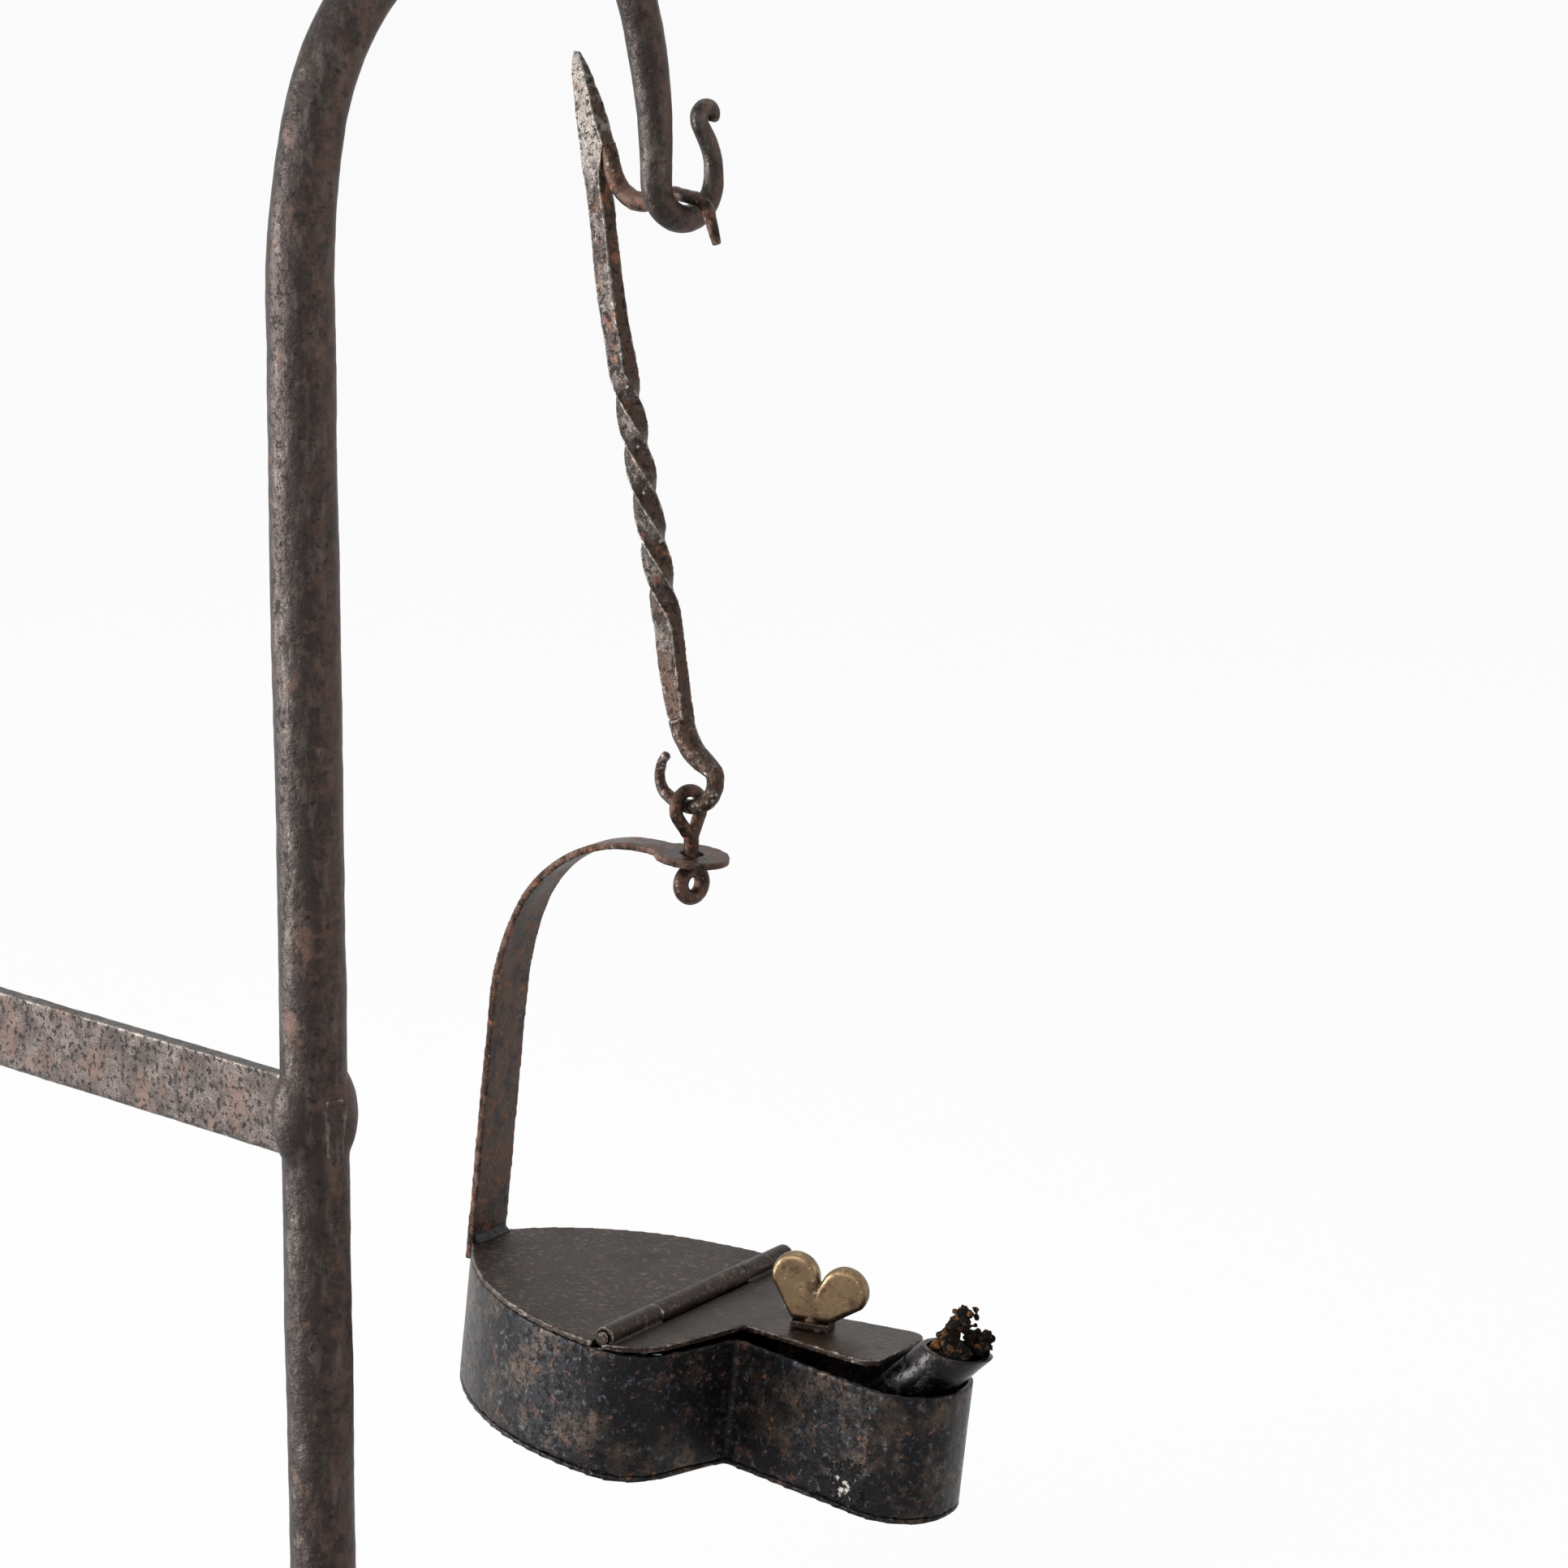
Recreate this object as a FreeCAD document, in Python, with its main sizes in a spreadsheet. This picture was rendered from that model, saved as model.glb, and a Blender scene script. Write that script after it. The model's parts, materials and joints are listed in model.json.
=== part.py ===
"""Betty lamp on a forged iron stand, built piece by piece in millimetres.

+X runs along the crook from the upright to its J hook, +Y runs along the flat bar to the rear
leg, and +Z is up. The origin is on the floor, in the middle of the whole object's footprint.
"""

import FreeCAD, Part
import math
import os
import Sketcher
from collections import namedtuple

Vector = FreeCAD.Vector
Placement = FreeCAD.Placement
Rotation = FreeCAD.Rotation

# Driving dimensions: alias, value in millimetres or degrees, what it is.
SIZES = (
    ("rod_radius", "6.35", "upright rod, half-inch round iron"),
    ("eye_height", "145", "floor to the middle of the pierced eye"),
    ("eye_half_width", "8.9", "half width of the swelling round the eye, across the bar"),
    ("eye_half_length", "12.3", "half length of the swelling along the rod"),
    ("eye_swell", "0.4", "swelling of the rod along the bar"),
    ("bar_height", "15.4", "flat bar, on edge"),
    ("bar_thickness", "3", "flat bar"),
    ("bar_drop", "1.5", "bar centre below the eye centre"),
    ("tenon_height", "10", "bar tenon in the eye"),
    ("tenon_gap", "0.05", "clearance round the bar tenon"),
    ("stretcher_reach", "200", "rod centre to rear leg centre"),
    ("crook_start", "151.6", "height above the eye where the rod begins to bend"),
    ("crook_span", "86.4", "rod centre to the drop of the crook"),
    ("drop_run", "3.35", "straight end of the crook's drop"),
    ("hook_bend", "7.4", "bend radius of the J hook"),
    ("hook_rise", "1.3", "upright part of the J hook's rising leg"),
    ("hook_lean_bend", "12", "bend radius of the leg's lean back over the hook"),
    ("hook_lean", "32", "lean of the leg, degrees"),
    ("hook_tip_run", "3.4", "straight end of the leg below the scroll"),
    ("hook_radius", "2.75", "radius of the bar at the bottom of the J hook"),
    ("hook_leg_radius", "1.95", "radius of the bar at the foot of the rising leg"),
    ("hook_tip_radius", "1.8", "radius of the bar where the leg leans"),
    ("scroll_bend", "2.2", "bend radius of the small scroll"),
    ("scroll_radius", "1.7", "radius of the bar where the scroll begins"),
    ("collar_height", "8", "collar at the foot of the rod"),
    ("collar_wall", "4", "collar wall"),
    ("collar_gap", "0.05", "collar on the rod"),
    ("foot_reach", "124", "rod centre to the centre of a front penny foot"),
    ("foot_width", "18", "arched foot bar"),
    ("foot_thickness", "7", "arched foot bar"),
    ("foot_rise", "31", "clear height under the arched foot"),
    ("crown_half", "16", "half length of the flat crown of the foot"),
    ("foot_slope", "38", "slope of the foot's legs, degrees"),
    ("penny_radius", "13", "penny foot"),
    ("penny_thickness", "5", "penny foot"),
    ("tenon_radius", "4.4", "rod tenon through the crown"),
    ("rivet_gap", "0.05", "clearance round a tenon or rivet in its hole"),
    ("foot_peen_radius", "7", "peened end of the rod tenon under the crown"),
    ("foot_peen_thickness", "2.6", "peened end of the rod tenon"),
    ("leg_width", "16", "rear leg bar"),
    ("leg_thickness", "4.5", "rear leg bar"),
    ("rivet_radius", "2.3", "rear leg rivets"),
    ("rivet_head_radius", "4.2", "rear leg rivets"),
    ("rivet_head_height", "1.9", "rear leg rivets"),
    ("rivet_pitch", "8", "distance between the two rear leg rivets"),
    ("seat_gap", "0.3", "crown of the J hook to the hook arm that hangs on it"),
    ("arm_radius", "1.35", "hanger's hook arm where it rests on the J hook"),
    ("arm_tip_run", "6.2", "free tip of the hook arm"),
    ("arm_tip_bend", "4.2", "bend radius between the arm's tip and its rest"),
    ("arm_rest_run", "3.4", "straight run from the tip's bend to the place of rest"),
    ("arm_lead_run", "1", "straight run from the place of rest to the arm's fall"),
    ("arm_fall_bend", "10", "bend radius at the start of the arm's fall"),
    ("arm_fall_run", "6.9", "straight fall of the arm"),
    ("arm_dip_bend", "8.5", "bend radius of the arm's dip"),
    ("arm_end_run", "5", "straight end of the arm at the weld"),
    ("hanger_drop", "115.45", "J hook seat to the C hook seat"),
    ("weld_reach", "3.1", "arm's end to the middle of the shaft's wedge"),
    ("spike_rise", "17.8", "weld to the point of the spike"),
    ("spike_lean", "5.9", "sideways lean of the spike"),
    ("shaft_bow", "2.6", "sideways bow of the shaft"),
    ("shaft_half_width", "2.35", "flat shaft, half width"),
    ("shaft_half_thickness", "1.75", "flat shaft, half thickness"),
    ("twist_half", "2.2", "half width of the square bar in the twist"),
    ("twist_turns", "1.25", "full turns of the twist"),
    ("chook_radius", "1.5", "radius of the round bar of the C hook"),
    ("chook_tip_bend", "5.5", "bend radius of the C hook's tip"),
    ("chook_near_bend", "3.9", "bend radius of the side with the tip"),
    ("chook_seat_bend", "12.5", "bend radius at the bottom, towards the tip"),
    ("chook_rise_bend", "10.8", "bend radius at the bottom, towards the neck"),
    ("chook_side_bend", "5.8", "bend radius of the side below the neck"),
    ("chook_shoulder_bend", "2.2", "bend radius of the shoulder above that side"),
    ("chook_neck_run", "2.8", "straight run between shoulder and neck"),
    ("chook_neck_bend", "11.5", "bend radius of the neck"),
    ("link_radius", "1.3", "radius of the swivel's bar at the loop"),
    ("link_gap", "0.3", "top of the C hook's bar to the loop that hangs on it"),
    ("loop_bend", "3.4", "bend radius of the teardrop loop"),
    ("stem_radius", "1.5", "swivel stem"),
    ("stem_run", "6.2", "stem between loop and lower eye"),
    ("stem_offset", "1", "stem beside the loop's place of rest, as the loop leans"),
    ("lower_eye_bend", "2.8", "ring radius of the lower eye"),
    ("lower_eye_radius", "1.55", "bar radius of the lower eye"),
    ("disc_gap", "0.3", "lower eye to the disc that rests on it"),
    ("disc_radius", "7.5", "disc at the end of the handle strap"),
    ("disc_thickness", "1.5", "disc at the end of the handle strap"),
    ("disc_hole_radius", "2.3", "hole for the swivel stem"),
    ("strap_thickness", "1.5", "handle strap"),
    ("strap_width", "12.4", "handle strap at the lamp's back"),
    ("strap_neck_width", "7", "handle strap next to its disc"),
    ("strap_foot", "24", "lower end of the strap above the floor plate"),
    ("strap_rise", "79.4", "height where the strap begins to bend over"),
    ("strap_reach", "39.2", "lamp's back to the centre of the disc"),
    ("bead_size", "1.8", "brazed bead between strap and top plate"),
    ("lamp_yaw", "-74.4", "direction of the spout, degrees from +X"),
    ("lamp_tip", "6.8", "spout-down tilt of the hanging lamp, degrees"),
    ("lamp_length", "112.9", "lamp, back to spout end"),
    ("lobe_station", "50.6", "lamp's back to its widest place and hinge line"),
    ("lobe_half", "34.6", "half width at the widest place"),
    ("lobe_nose", "11.4", "radius of the lobes in front of the hinge line"),
    ("neck_station", "66.6", "lamp's back to the neck"),
    ("neck_half", "9.4", "half width at the neck"),
    ("spout_half", "13.4", "half width of the spout"),
    ("spout_corner", "12.6", "corner radius of the spout's end"),
    ("lamp_height", "27.7", "lamp, floor plate to top plate"),
    ("wall_thickness", "1.1", "side wall sheet"),
    ("floor_thickness", "1.2", "floor plate"),
    ("top_thickness", "1.2", "top plate and lid"),
    ("barrel_radius", "2.2", "hinge barrel"),
    ("barrel_inset", "0.7", "hinge barrel's ends inside the lobes' sides"),
    ("pin_radius", "1.25", "hinge pin"),
    ("pin_gap", "0.05", "running clearance of the hinge pin"),
    ("pin_proud", "0.5", "hinge pin beyond the barrel"),
    ("lid_gap", "0.3", "running clearance round the lid"),
    ("knuckle_half", "16", "half length of the fixed middle knuckle"),
    ("lid_setback", "14.2", "spout's end to the lid's front edge"),
    ("lid_inset", "2", "lid's sides inside the lamp's, at the neck and the spout"),
    ("lid_corner", "4", "corner radius of the lid's front"),
    ("lid_lift", "3.7", "lid angle at rest on the wick holder, degrees"),
    ("thumb_turn", "12", "turn of the thumb piece from the lamp's axis, degrees"),
    ("thumb_lean", "10", "lean of the thumb piece's lobes towards the spout, degrees"),
    ("thumb_height", "12.8", "thumb piece above its seat"),
    ("thumb_half_width", "10.1", "half width over the two lobes"),
    ("thumb_thickness", "3.4", "thumb piece"),
    ("thumb_round", "1.3", "rounding of the thumb piece's edges"),
    ("thumb_tenon", "1.7", "radius of the thumb piece's rivet tenon"),
    ("thumb_peen", "2.9", "radius of the peened end under the lid"),
    ("thumb_peen_height", "0.9", "peened end under the lid"),
    ("seat_length", "8", "seat of the thumb piece"),
    ("seat_width", "5", "seat of the thumb piece"),
    ("seat_height", "1.6", "seat of the thumb piece"),
    ("strand_radius", "1.9", "one strand of the wick"),
    ("tuft_radius", "1.33", "radius of a strand at its tip"),
    ("strand_gap", "0.3", "clearance between the strands and round them"),
    ("strand_tail", "16", "wick tail on the lamp's floor"),
    ("strand_bend", "16", "bend radius of the wick"),
    ("holder_wall", "1.1", "wick holder sheet"),
    ("holder_tilt", "49", "slope of the wick holder, degrees"),
    ("holder_mouth", "34.4", "height of the holder's mouth above the lamp's underside"),
    ("holder_open", "15", "height below which the holder is an open trough"),
)

# Named overrun of every cut, past both faces of what it cuts.
OVERRUN = 5.0

Segment = namedtuple("Segment", "start middle end heading_in heading_out radius turn length")


def make_sheet(document):
    """Put the driving dimensions into a sheet and return it with its values by name."""
    sheet = document.addObject("Spreadsheet::Sheet", "sizes")
    for row, (alias, value, note) in enumerate(SIZES, start=1):
        sheet.set(f"A{row}", note)
        sheet.set(f"B{row}", value)
        sheet.setAlias(f"B{row}", alias)
    document.recompute()
    Values = namedtuple("Values", [alias for alias, value, note in SIZES])
    return sheet, Values(*[float(sheet.get(alias)) for alias, value, note in SIZES])


doc = FreeCAD.newDocument("betty_lamp_stand")
sheet, size = make_sheet(doc)


# Plane geometry: lines bent as a smith bends a bar.

def step(point, heading, ahead, aside):
    """Point that lies ahead along a heading in degrees, and aside to its left."""
    angle = math.radians(heading)
    return (point[0] + ahead * math.cos(angle) - aside * math.sin(angle),
            point[1] + ahead * math.sin(angle) + aside * math.cos(angle))


def bent_line(start, heading, moves):
    """Segments of a line made of runs (length, 0) and bends (radius, turn in degrees)."""
    segments = []
    for amount, turn in moves:
        if turn == 0:
            end = step(start, heading, amount, 0)
            middle = step(start, heading, amount / 2, 0)
            segments.append(Segment(start, middle, end, heading, heading, 0, 0, amount))
        else:
            side = math.copysign(1, turn)
            centre = step(start, heading, 0, side * amount)
            middle = step(centre, heading + turn / 2, 0, -side * amount)
            end = step(centre, heading + turn, 0, -side * amount)
            length = amount * math.radians(abs(turn))
            segments.append(Segment(start, middle, end, heading, heading + turn, amount, turn, length))
            heading = heading + turn
        start = segments[-1].end
    return segments


def reversed_line(segments):
    """The same line followed from its end to its start."""
    return [Segment(s.end, s.middle, s.start, s.heading_out + 180, s.heading_in + 180,
                    s.radius, -s.turn, s.length) for s in reversed(segments)]


def strip_chain(segments, half_thickness):
    """Closed outline of a strip of even thickness that follows a bent line."""
    sides = []
    for side in (-half_thickness, half_thickness):
        chain = []
        for s in segments:
            middle = step(s.middle, s.heading_in + s.turn / 2, 0, side) if s.turn else None
            chain.append((step(s.start, s.heading_in, 0, side), middle,
                          step(s.end, s.heading_out, 0, side)))
        sides.append(chain)
    right, left = sides
    back = [(end, middle, start) for start, middle, end in reversed(left)]
    return right + [(right[-1][2], None, back[0][0])] + back + [(back[-1][2], None, right[0][0])]


def mirrored(chain):
    """The same outline reflected across the first axis, followed the other way."""
    def flip(point):
        return None if point is None else (point[0], -point[1])
    return [(flip(end), flip(middle), flip(start)) for start, middle, end in reversed(chain)]


def polygon(points):
    """Closed chain of straight lines through points."""
    return [(a, None, b) for a, b in zip(points, points[1:] + points[:1])]


# Document objects.

def draw(sketch, chain):
    """Draw a closed chain of lines and arcs in a sketch and join its ends."""
    ends = []
    for start, middle, end in chain:
        a = Vector(start[0], start[1], 0)
        b = Vector(end[0], end[1], 0)
        first, last = 1, 2
        if middle is None:
            line = Part.LineSegment(a, b)
        else:
            m = Vector(middle[0], middle[1], 0)
            if (m - a).cross(b - m).z < 0:
                a, b = b, a
                first, last = 2, 1
            line = Part.ArcOfCircle(a, m, b)
        ends.append((sketch.addGeometry(line), first, last))
    for here, following in zip(ends, ends[1:] + ends[:1]):
        sketch.addConstraint(Sketcher.Constraint("Coincident", here[0], here[2],
                                                 following[0], following[1]))


def draw_circle(sketch, centre, radius_alias, gap_alias=None):
    """Draw a circle whose radius follows the sheet."""
    radius = getattr(size, radius_alias)
    words = f"sizes.{radius_alias}"
    if gap_alias:
        radius = radius + getattr(size, gap_alias)
        words = f"{words} + sizes.{gap_alias}"
    index = sketch.addGeometry(Part.Circle(Vector(centre[0], centre[1], 0), Vector(0, 0, 1), radius))
    number = sketch.addConstraint(Sketcher.Constraint("Radius", index, radius))
    sketch.setExpression(f"Constraints[{number}]", words)


def new_body(name):
    """Start a piece that is built from sketches and features."""
    return doc.addObject("PartDesign::Body", name)


def new_sketch(body, name, role, offset=0):
    """Sketch on one of a body's own origin planes, moved along the plane's normal."""
    sketch = body.newObject("Sketcher::SketchObject", name)
    plane = next(p for p in body.Origin.OriginFeatures if p.Role == role)
    sketch.AttachmentSupport = [(plane, "")]
    sketch.MapMode = "FlatFace"
    sketch.AttachmentOffset = Placement(Vector(0, 0, offset), Rotation())
    return sketch


def feature(body, kind, name, sketch, words, both_ways=False, back=False):
    """Pad or pocket of a sketch whose length follows the sheet."""
    made = body.newObject(f"PartDesign::{kind}", name)
    made.Profile = sketch
    made.setExpression("Length", words)
    if both_ways:
        made.SideType = "Symmetric"
    made.Reversed = back
    sketch.Visibility = False
    body.Tip = made
    return made


def through_pocket(body, name, sketch):
    """Cut a sketch right through a body, both ways."""
    made = body.newObject("PartDesign::Pocket", name)
    made.Profile = sketch
    made.Type = "ThroughAll"
    made.SideType = "Symmetric"
    body.Tip = made
    return made


def primitive(kind, name, expressions, base=Vector(), turn=Rotation()):
    """Solid primitive whose sizes follow the sheet."""
    made = doc.addObject(f"Part::{kind}", name)
    made.Placement = Placement(base, turn)
    for prop, words in expressions.items():
        made.setExpression(prop, words)
    return made


def combine(kind, name, *shapes):
    """Boolean of document objects: Fuse joins all, Cut takes the rest from the first."""
    if kind == "Fuse":
        made = doc.addObject("Part::MultiFuse", name)
        made.Shapes = list(shapes)
    else:
        made = doc.addObject(f"Part::{kind}", name)
        made.Base, made.Tool = shapes
    return made


def set_solid(name, shape):
    """Piece whose form is set directly."""
    made = doc.addObject("Part::Feature", name)
    made.Shape = shape
    return made


def extrusion(name, chain, words, plane_turn=Rotation(), offset=Vector(), both_ways=False):
    """Extruded outline; its depth follows the sheet."""
    sketch = doc.addObject("Sketcher::SketchObject", f"{name}_outline")
    sketch.Placement = Placement(offset, plane_turn)
    draw(sketch, chain)
    made = doc.addObject("Part::Extrusion", name)
    made.Base = sketch
    made.DirMode = "Custom"
    made.Dir = plane_turn.multVec(Vector(0, 0, 1))
    made.setExpression("LengthFwd", words)
    made.Symmetric = both_ways
    made.Solid = True
    return made


# Turns of a sketch into an upright plane: along X, and along Y.
UPRIGHT_X = Rotation(Vector(1, 0, 0), 90)
UPRIGHT_Y = Rotation(Vector(1, 1, 1), 120)


def round_section(to_space, point, heading, radius):
    """Circle across a line at one of its points."""
    ahead = to_space(step(point, heading, 1, 0)) - to_space(point)
    return Part.Wire(Part.Circle(to_space(point), ahead, radius).toShape())


def swept_bar(segments, radii, to_space, normal):
    """Solid round bar along a bent line; one radius for each end of its segments."""
    sections = [round_section(to_space, segments[0].start, segments[0].heading_in, radii[0])]
    faces = []
    for s, radius in zip(segments, radii[1:]):
        if s.turn:
            edge = Part.Arc(to_space(s.start), to_space(s.middle), to_space(s.end)).toShape()
        else:
            edge = Part.LineSegment(to_space(s.start), to_space(s.end)).toShape()
        sections.append(round_section(to_space, s.end, s.heading_out, radius))
        skin = Part.BRepOffsetAPI.MakePipeShell(Part.Wire([edge]))
        skin.setBiNormalMode(normal)
        skin.add(sections[-2])
        skin.add(sections[-1])
        skin.build()
        faces += skin.shape().Faces
    shell = Part.Shell(faces + [Part.Face(sections[0]), Part.Face(sections[-1])])
    shell.sewShape()
    return Part.Solid(shell)


def lofted_bar(sections, ruled):
    """Solid through level rectangles: centre, half sizes and turn in degrees."""
    wires = []
    for centre, half_x, half_y, turn in sections:
        corners = []
        for x, y in ((-half_x, -half_y), (half_x, -half_y), (half_x, half_y), (-half_x, half_y)):
            across = step((0, 0), turn, x, y)
            corners.append(centre + Vector(across[0], across[1], 0))
        wires.append(Part.makePolygon(corners + corners[:1]))
    return Part.makeLoft(wires, True, ruled)


# Stand: the upright rod with its pierced eye, crook and J hook.

def in_crook_plane(point):
    return Vector(point[0], 0, point[1])


def in_bar_plane(point):
    return Vector(0, point[0], point[1])


# Bends of the crook: radius as a share of its span, and turn in degrees.
CROOK_BEND_SHARES = ((1.555, 14), (0.625, 40), (0.505, 70), (0.153, 36), (1.257, 20))
# Radius of the crook at the ends of its bends, as shares of the rod's radius.
CROOK_RADIUS_SHARES = (1, 0.9, 0.88, 0.82, 0.65, 0.5)
# Bends of the scroll: turn in degrees, and bend and bar radius as shares of the scroll's.
SCROLL_SHARES = ((122, 1, 0.92), (90, 0.82, 0.74), (40, 0.8, 0.52))


def crook_lines(start_height):
    """Segments and radii of the crook, from the rod's top to the tip of the scroll."""
    moves = [(share * size.crook_span, -turn) for share, turn in CROOK_BEND_SHARES]
    radii = [share * size.rod_radius for share in CROOK_RADIUS_SHARES]
    moves += [(size.drop_run, 0), (size.hook_bend, 90), (size.hook_bend, 90), (size.hook_rise, 0),
              (size.hook_lean_bend, size.hook_lean), (size.hook_tip_run, 0)]
    radii += [radii[-1], size.hook_radius, size.hook_leg_radius, size.hook_leg_radius,
              size.hook_tip_radius, size.scroll_radius]
    for turn, bend_share, bar_share in SCROLL_SHARES:
        moves.append((bend_share * size.scroll_bend, -turn))
        radii.append(bar_share * size.scroll_radius)
    return bent_line((0, start_height), 90, moves), radii


crown_top = size.foot_rise + size.foot_thickness
bar_level = size.eye_height - size.bar_drop
crook_base = size.eye_height + size.crook_start
crook_segments, crook_radii = crook_lines(crook_base)
hook_bottom = crook_segments[len(CROOK_BEND_SHARES) + 1].end
hook_seat = Vector(hook_bottom[0], 0, hook_bottom[1])


def build_upright():
    rod = primitive("Cylinder", "upright_rod",
                    {"Radius": "sizes.rod_radius",
                     "Height": "sizes.eye_height + sizes.crook_start"
                               " - sizes.foot_rise - sizes.foot_thickness"},
                    Vector(0, 0, crown_top))
    eye = primitive("Ellipsoid", "upright_eye",
                    {"Radius1": "sizes.eye_half_length", "Radius2": "sizes.eye_half_width",
                     "Radius3": "sizes.rod_radius + sizes.eye_swell"},
                    Vector(0, 0, size.eye_height))
    tenon = primitive("Cylinder", "upright_tenon",
                      {"Radius": "sizes.tenon_radius", "Height": "sizes.foot_thickness"},
                      Vector(0, 0, size.foot_rise))
    peen = primitive("Cone", "upright_peen",
                     {"Radius1": "sizes.tenon_radius", "Radius2": "sizes.foot_peen_radius",
                      "Height": "sizes.foot_peen_thickness"},
                     Vector(0, 0, size.foot_rise - size.foot_peen_thickness))
    crook = set_solid("upright_bend", swept_bar(crook_segments, crook_radii, in_crook_plane,
                                                Vector(0, 1, 0)))
    iron = combine("Fuse", "upright_iron", rod, eye, tenon, peen, crook)
    slot_width = size.bar_thickness + 2 * size.tenon_gap
    slot_height = size.tenon_height + 2 * size.tenon_gap
    slot_reach = size.eye_half_width + OVERRUN
    slot = primitive("Box", "upright_slot",
                     {"Length": "sizes.bar_thickness + 2 * sizes.tenon_gap",
                      "Height": "sizes.tenon_height + 2 * sizes.tenon_gap"},
                     Vector(-slot_width / 2, -slot_reach, bar_level - slot_height / 2))
    slot.Width = 2 * slot_reach
    return combine("Cut", "upright_crook", iron, slot)


def build_foot_arch():
    body = new_body("foot_arch")
    upper_bend = 1.45 * size.foot_rise
    lower_bend = 0.97 * size.foot_rise
    slope = math.radians(size.foot_slope)
    bends = upper_bend + lower_bend
    slope_run = (size.foot_rise - bends * (1 - math.cos(slope))) / math.sin(slope)
    toe_start = size.crown_half + bends * math.sin(slope) + slope_run * math.cos(slope)
    toe_run = size.foot_reach - toe_start - size.penny_radius / 2
    right = bent_line((0, size.foot_rise + size.foot_thickness / 2), 0,
                      [(size.crown_half, 0), (upper_bend, -size.foot_slope), (slope_run, 0),
                       (lower_bend, size.foot_slope), (toe_run, 0)])
    left = [Segment((-s.start[0], s.start[1]), (-s.middle[0], s.middle[1]), (-s.end[0], s.end[1]),
                    180 - s.heading_in, 180 - s.heading_out, s.radius, -s.turn, s.length)
            for s in right]
    whole = reversed_line(left)[:-1] + [joined_run(left[0], right[0])] + right[1:]
    sketch = new_sketch(body, "foot_profile", "XZ_Plane")
    draw(sketch, strip_chain(whole, size.foot_thickness / 2))
    feature(body, "Pad", "foot_bar", sketch, "sizes.foot_width", both_ways=True)
    pennies = new_sketch(body, "penny_profile", "XY_Plane")
    for side in (-1, 1):
        draw_circle(pennies, (side * size.foot_reach, 0), "penny_radius")
    feature(body, "Pad", "pennies", pennies, "sizes.penny_thickness")
    hole = new_sketch(body, "crown_hole_profile", "XY_Plane")
    draw_circle(hole, (0, 0), "tenon_radius", "rivet_gap")
    through_pocket(body, "crown_hole", hole)
    return body


def joined_run(left, right):
    """One straight run in place of two that meet end to end."""
    return Segment(left.end, left.start, right.end, right.heading_in, right.heading_in, 0, 0,
                   left.length + right.length)


def build_foot_collar():
    body = new_body("foot_collar")
    inner = size.rod_radius + size.collar_gap
    outer = inner + size.collar_wall
    waist = inner + size.collar_wall * 0.62
    top = crown_top + size.collar_height
    sketch = new_sketch(body, "collar_profile", "XZ_Plane")
    draw(sketch, [((inner, crown_top), None, (waist, crown_top)),
                  ((waist, crown_top), (outer, crown_top + size.collar_height / 2), (waist, top)),
                  ((waist, top), None, (inner, top)),
                  ((inner, top), None, (inner, crown_top))])
    ring = body.newObject("PartDesign::Revolution", "collar_ring")
    ring.Profile = sketch
    ring.ReferenceAxis = (sketch, ["V_Axis"])
    body.Tip = ring
    return body


def build_stretcher_bar():
    shoulder = size.rod_radius + size.eye_swell
    bar = primitive("Box", "stretcher_blade",
                    {"Length": "sizes.bar_thickness", "Height": "sizes.bar_height",
                     "Width": "sizes.stretcher_reach + sizes.leg_width / 2"
                              " - sizes.rod_radius - sizes.eye_swell"},
                    Vector(-size.bar_thickness / 2, shoulder, bar_level - size.bar_height / 2))
    tenon = primitive("Box", "stretcher_tenon",
                      {"Length": "sizes.bar_thickness", "Height": "sizes.tenon_height",
                       "Width": "2 * sizes.rod_radius + sizes.eye_swell"},
                      Vector(-size.bar_thickness / 2, -size.rod_radius,
                             bar_level - size.tenon_height / 2))
    joined = combine("Fuse", "stretcher_iron", bar, tenon)
    return drilled(joined, "stretcher_bar")


def rivet_levels():
    """Heights of the two rear leg rivets."""
    return [bar_level + side * size.rivet_pitch / 2 for side in (-1, 1)]


def drilled(piece, name):
    """Drill a bar or leg for the two rear rivets."""
    holes = []
    for number, level in enumerate(rivet_levels()):
        reach = size.leg_thickness + size.bar_thickness + OVERRUN
        hole = primitive("Cylinder", f"{name}_hole_{number + 1}",
                         {"Radius": "sizes.rivet_radius + sizes.rivet_gap"},
                         Vector(-reach, size.stretcher_reach, level), Rotation(Vector(0, 1, 0), 90))
        hole.Height = 2 * reach
        holes.append(hole)
    return combine("Cut", name, piece, combine("Fuse", f"{name}_holes", *holes))


def build_rear_leg():
    body = new_body("rear_leg_iron")
    near_face = -size.bar_thickness / 2
    far_face = near_face - size.leg_thickness
    front = size.stretcher_reach - size.leg_width / 2
    rear = size.stretcher_reach + size.leg_width / 2
    sketch = new_sketch(body, "rear_leg_profile", "XY_Plane")
    draw(sketch, polygon([(far_face, front), (near_face, front), (near_face, rear), (far_face, rear)]))
    feature(body, "Pad", "rear_leg_bar", sketch,
            "sizes.eye_height - sizes.bar_drop + sizes.bar_height / 2")
    penny = new_sketch(body, "rear_penny_profile", "XY_Plane")
    draw_circle(penny, ((far_face + near_face) / 2, size.stretcher_reach), "penny_radius")
    feature(body, "Pad", "rear_penny", penny, "sizes.penny_thickness")
    return drilled(body, "rear_leg")


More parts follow.
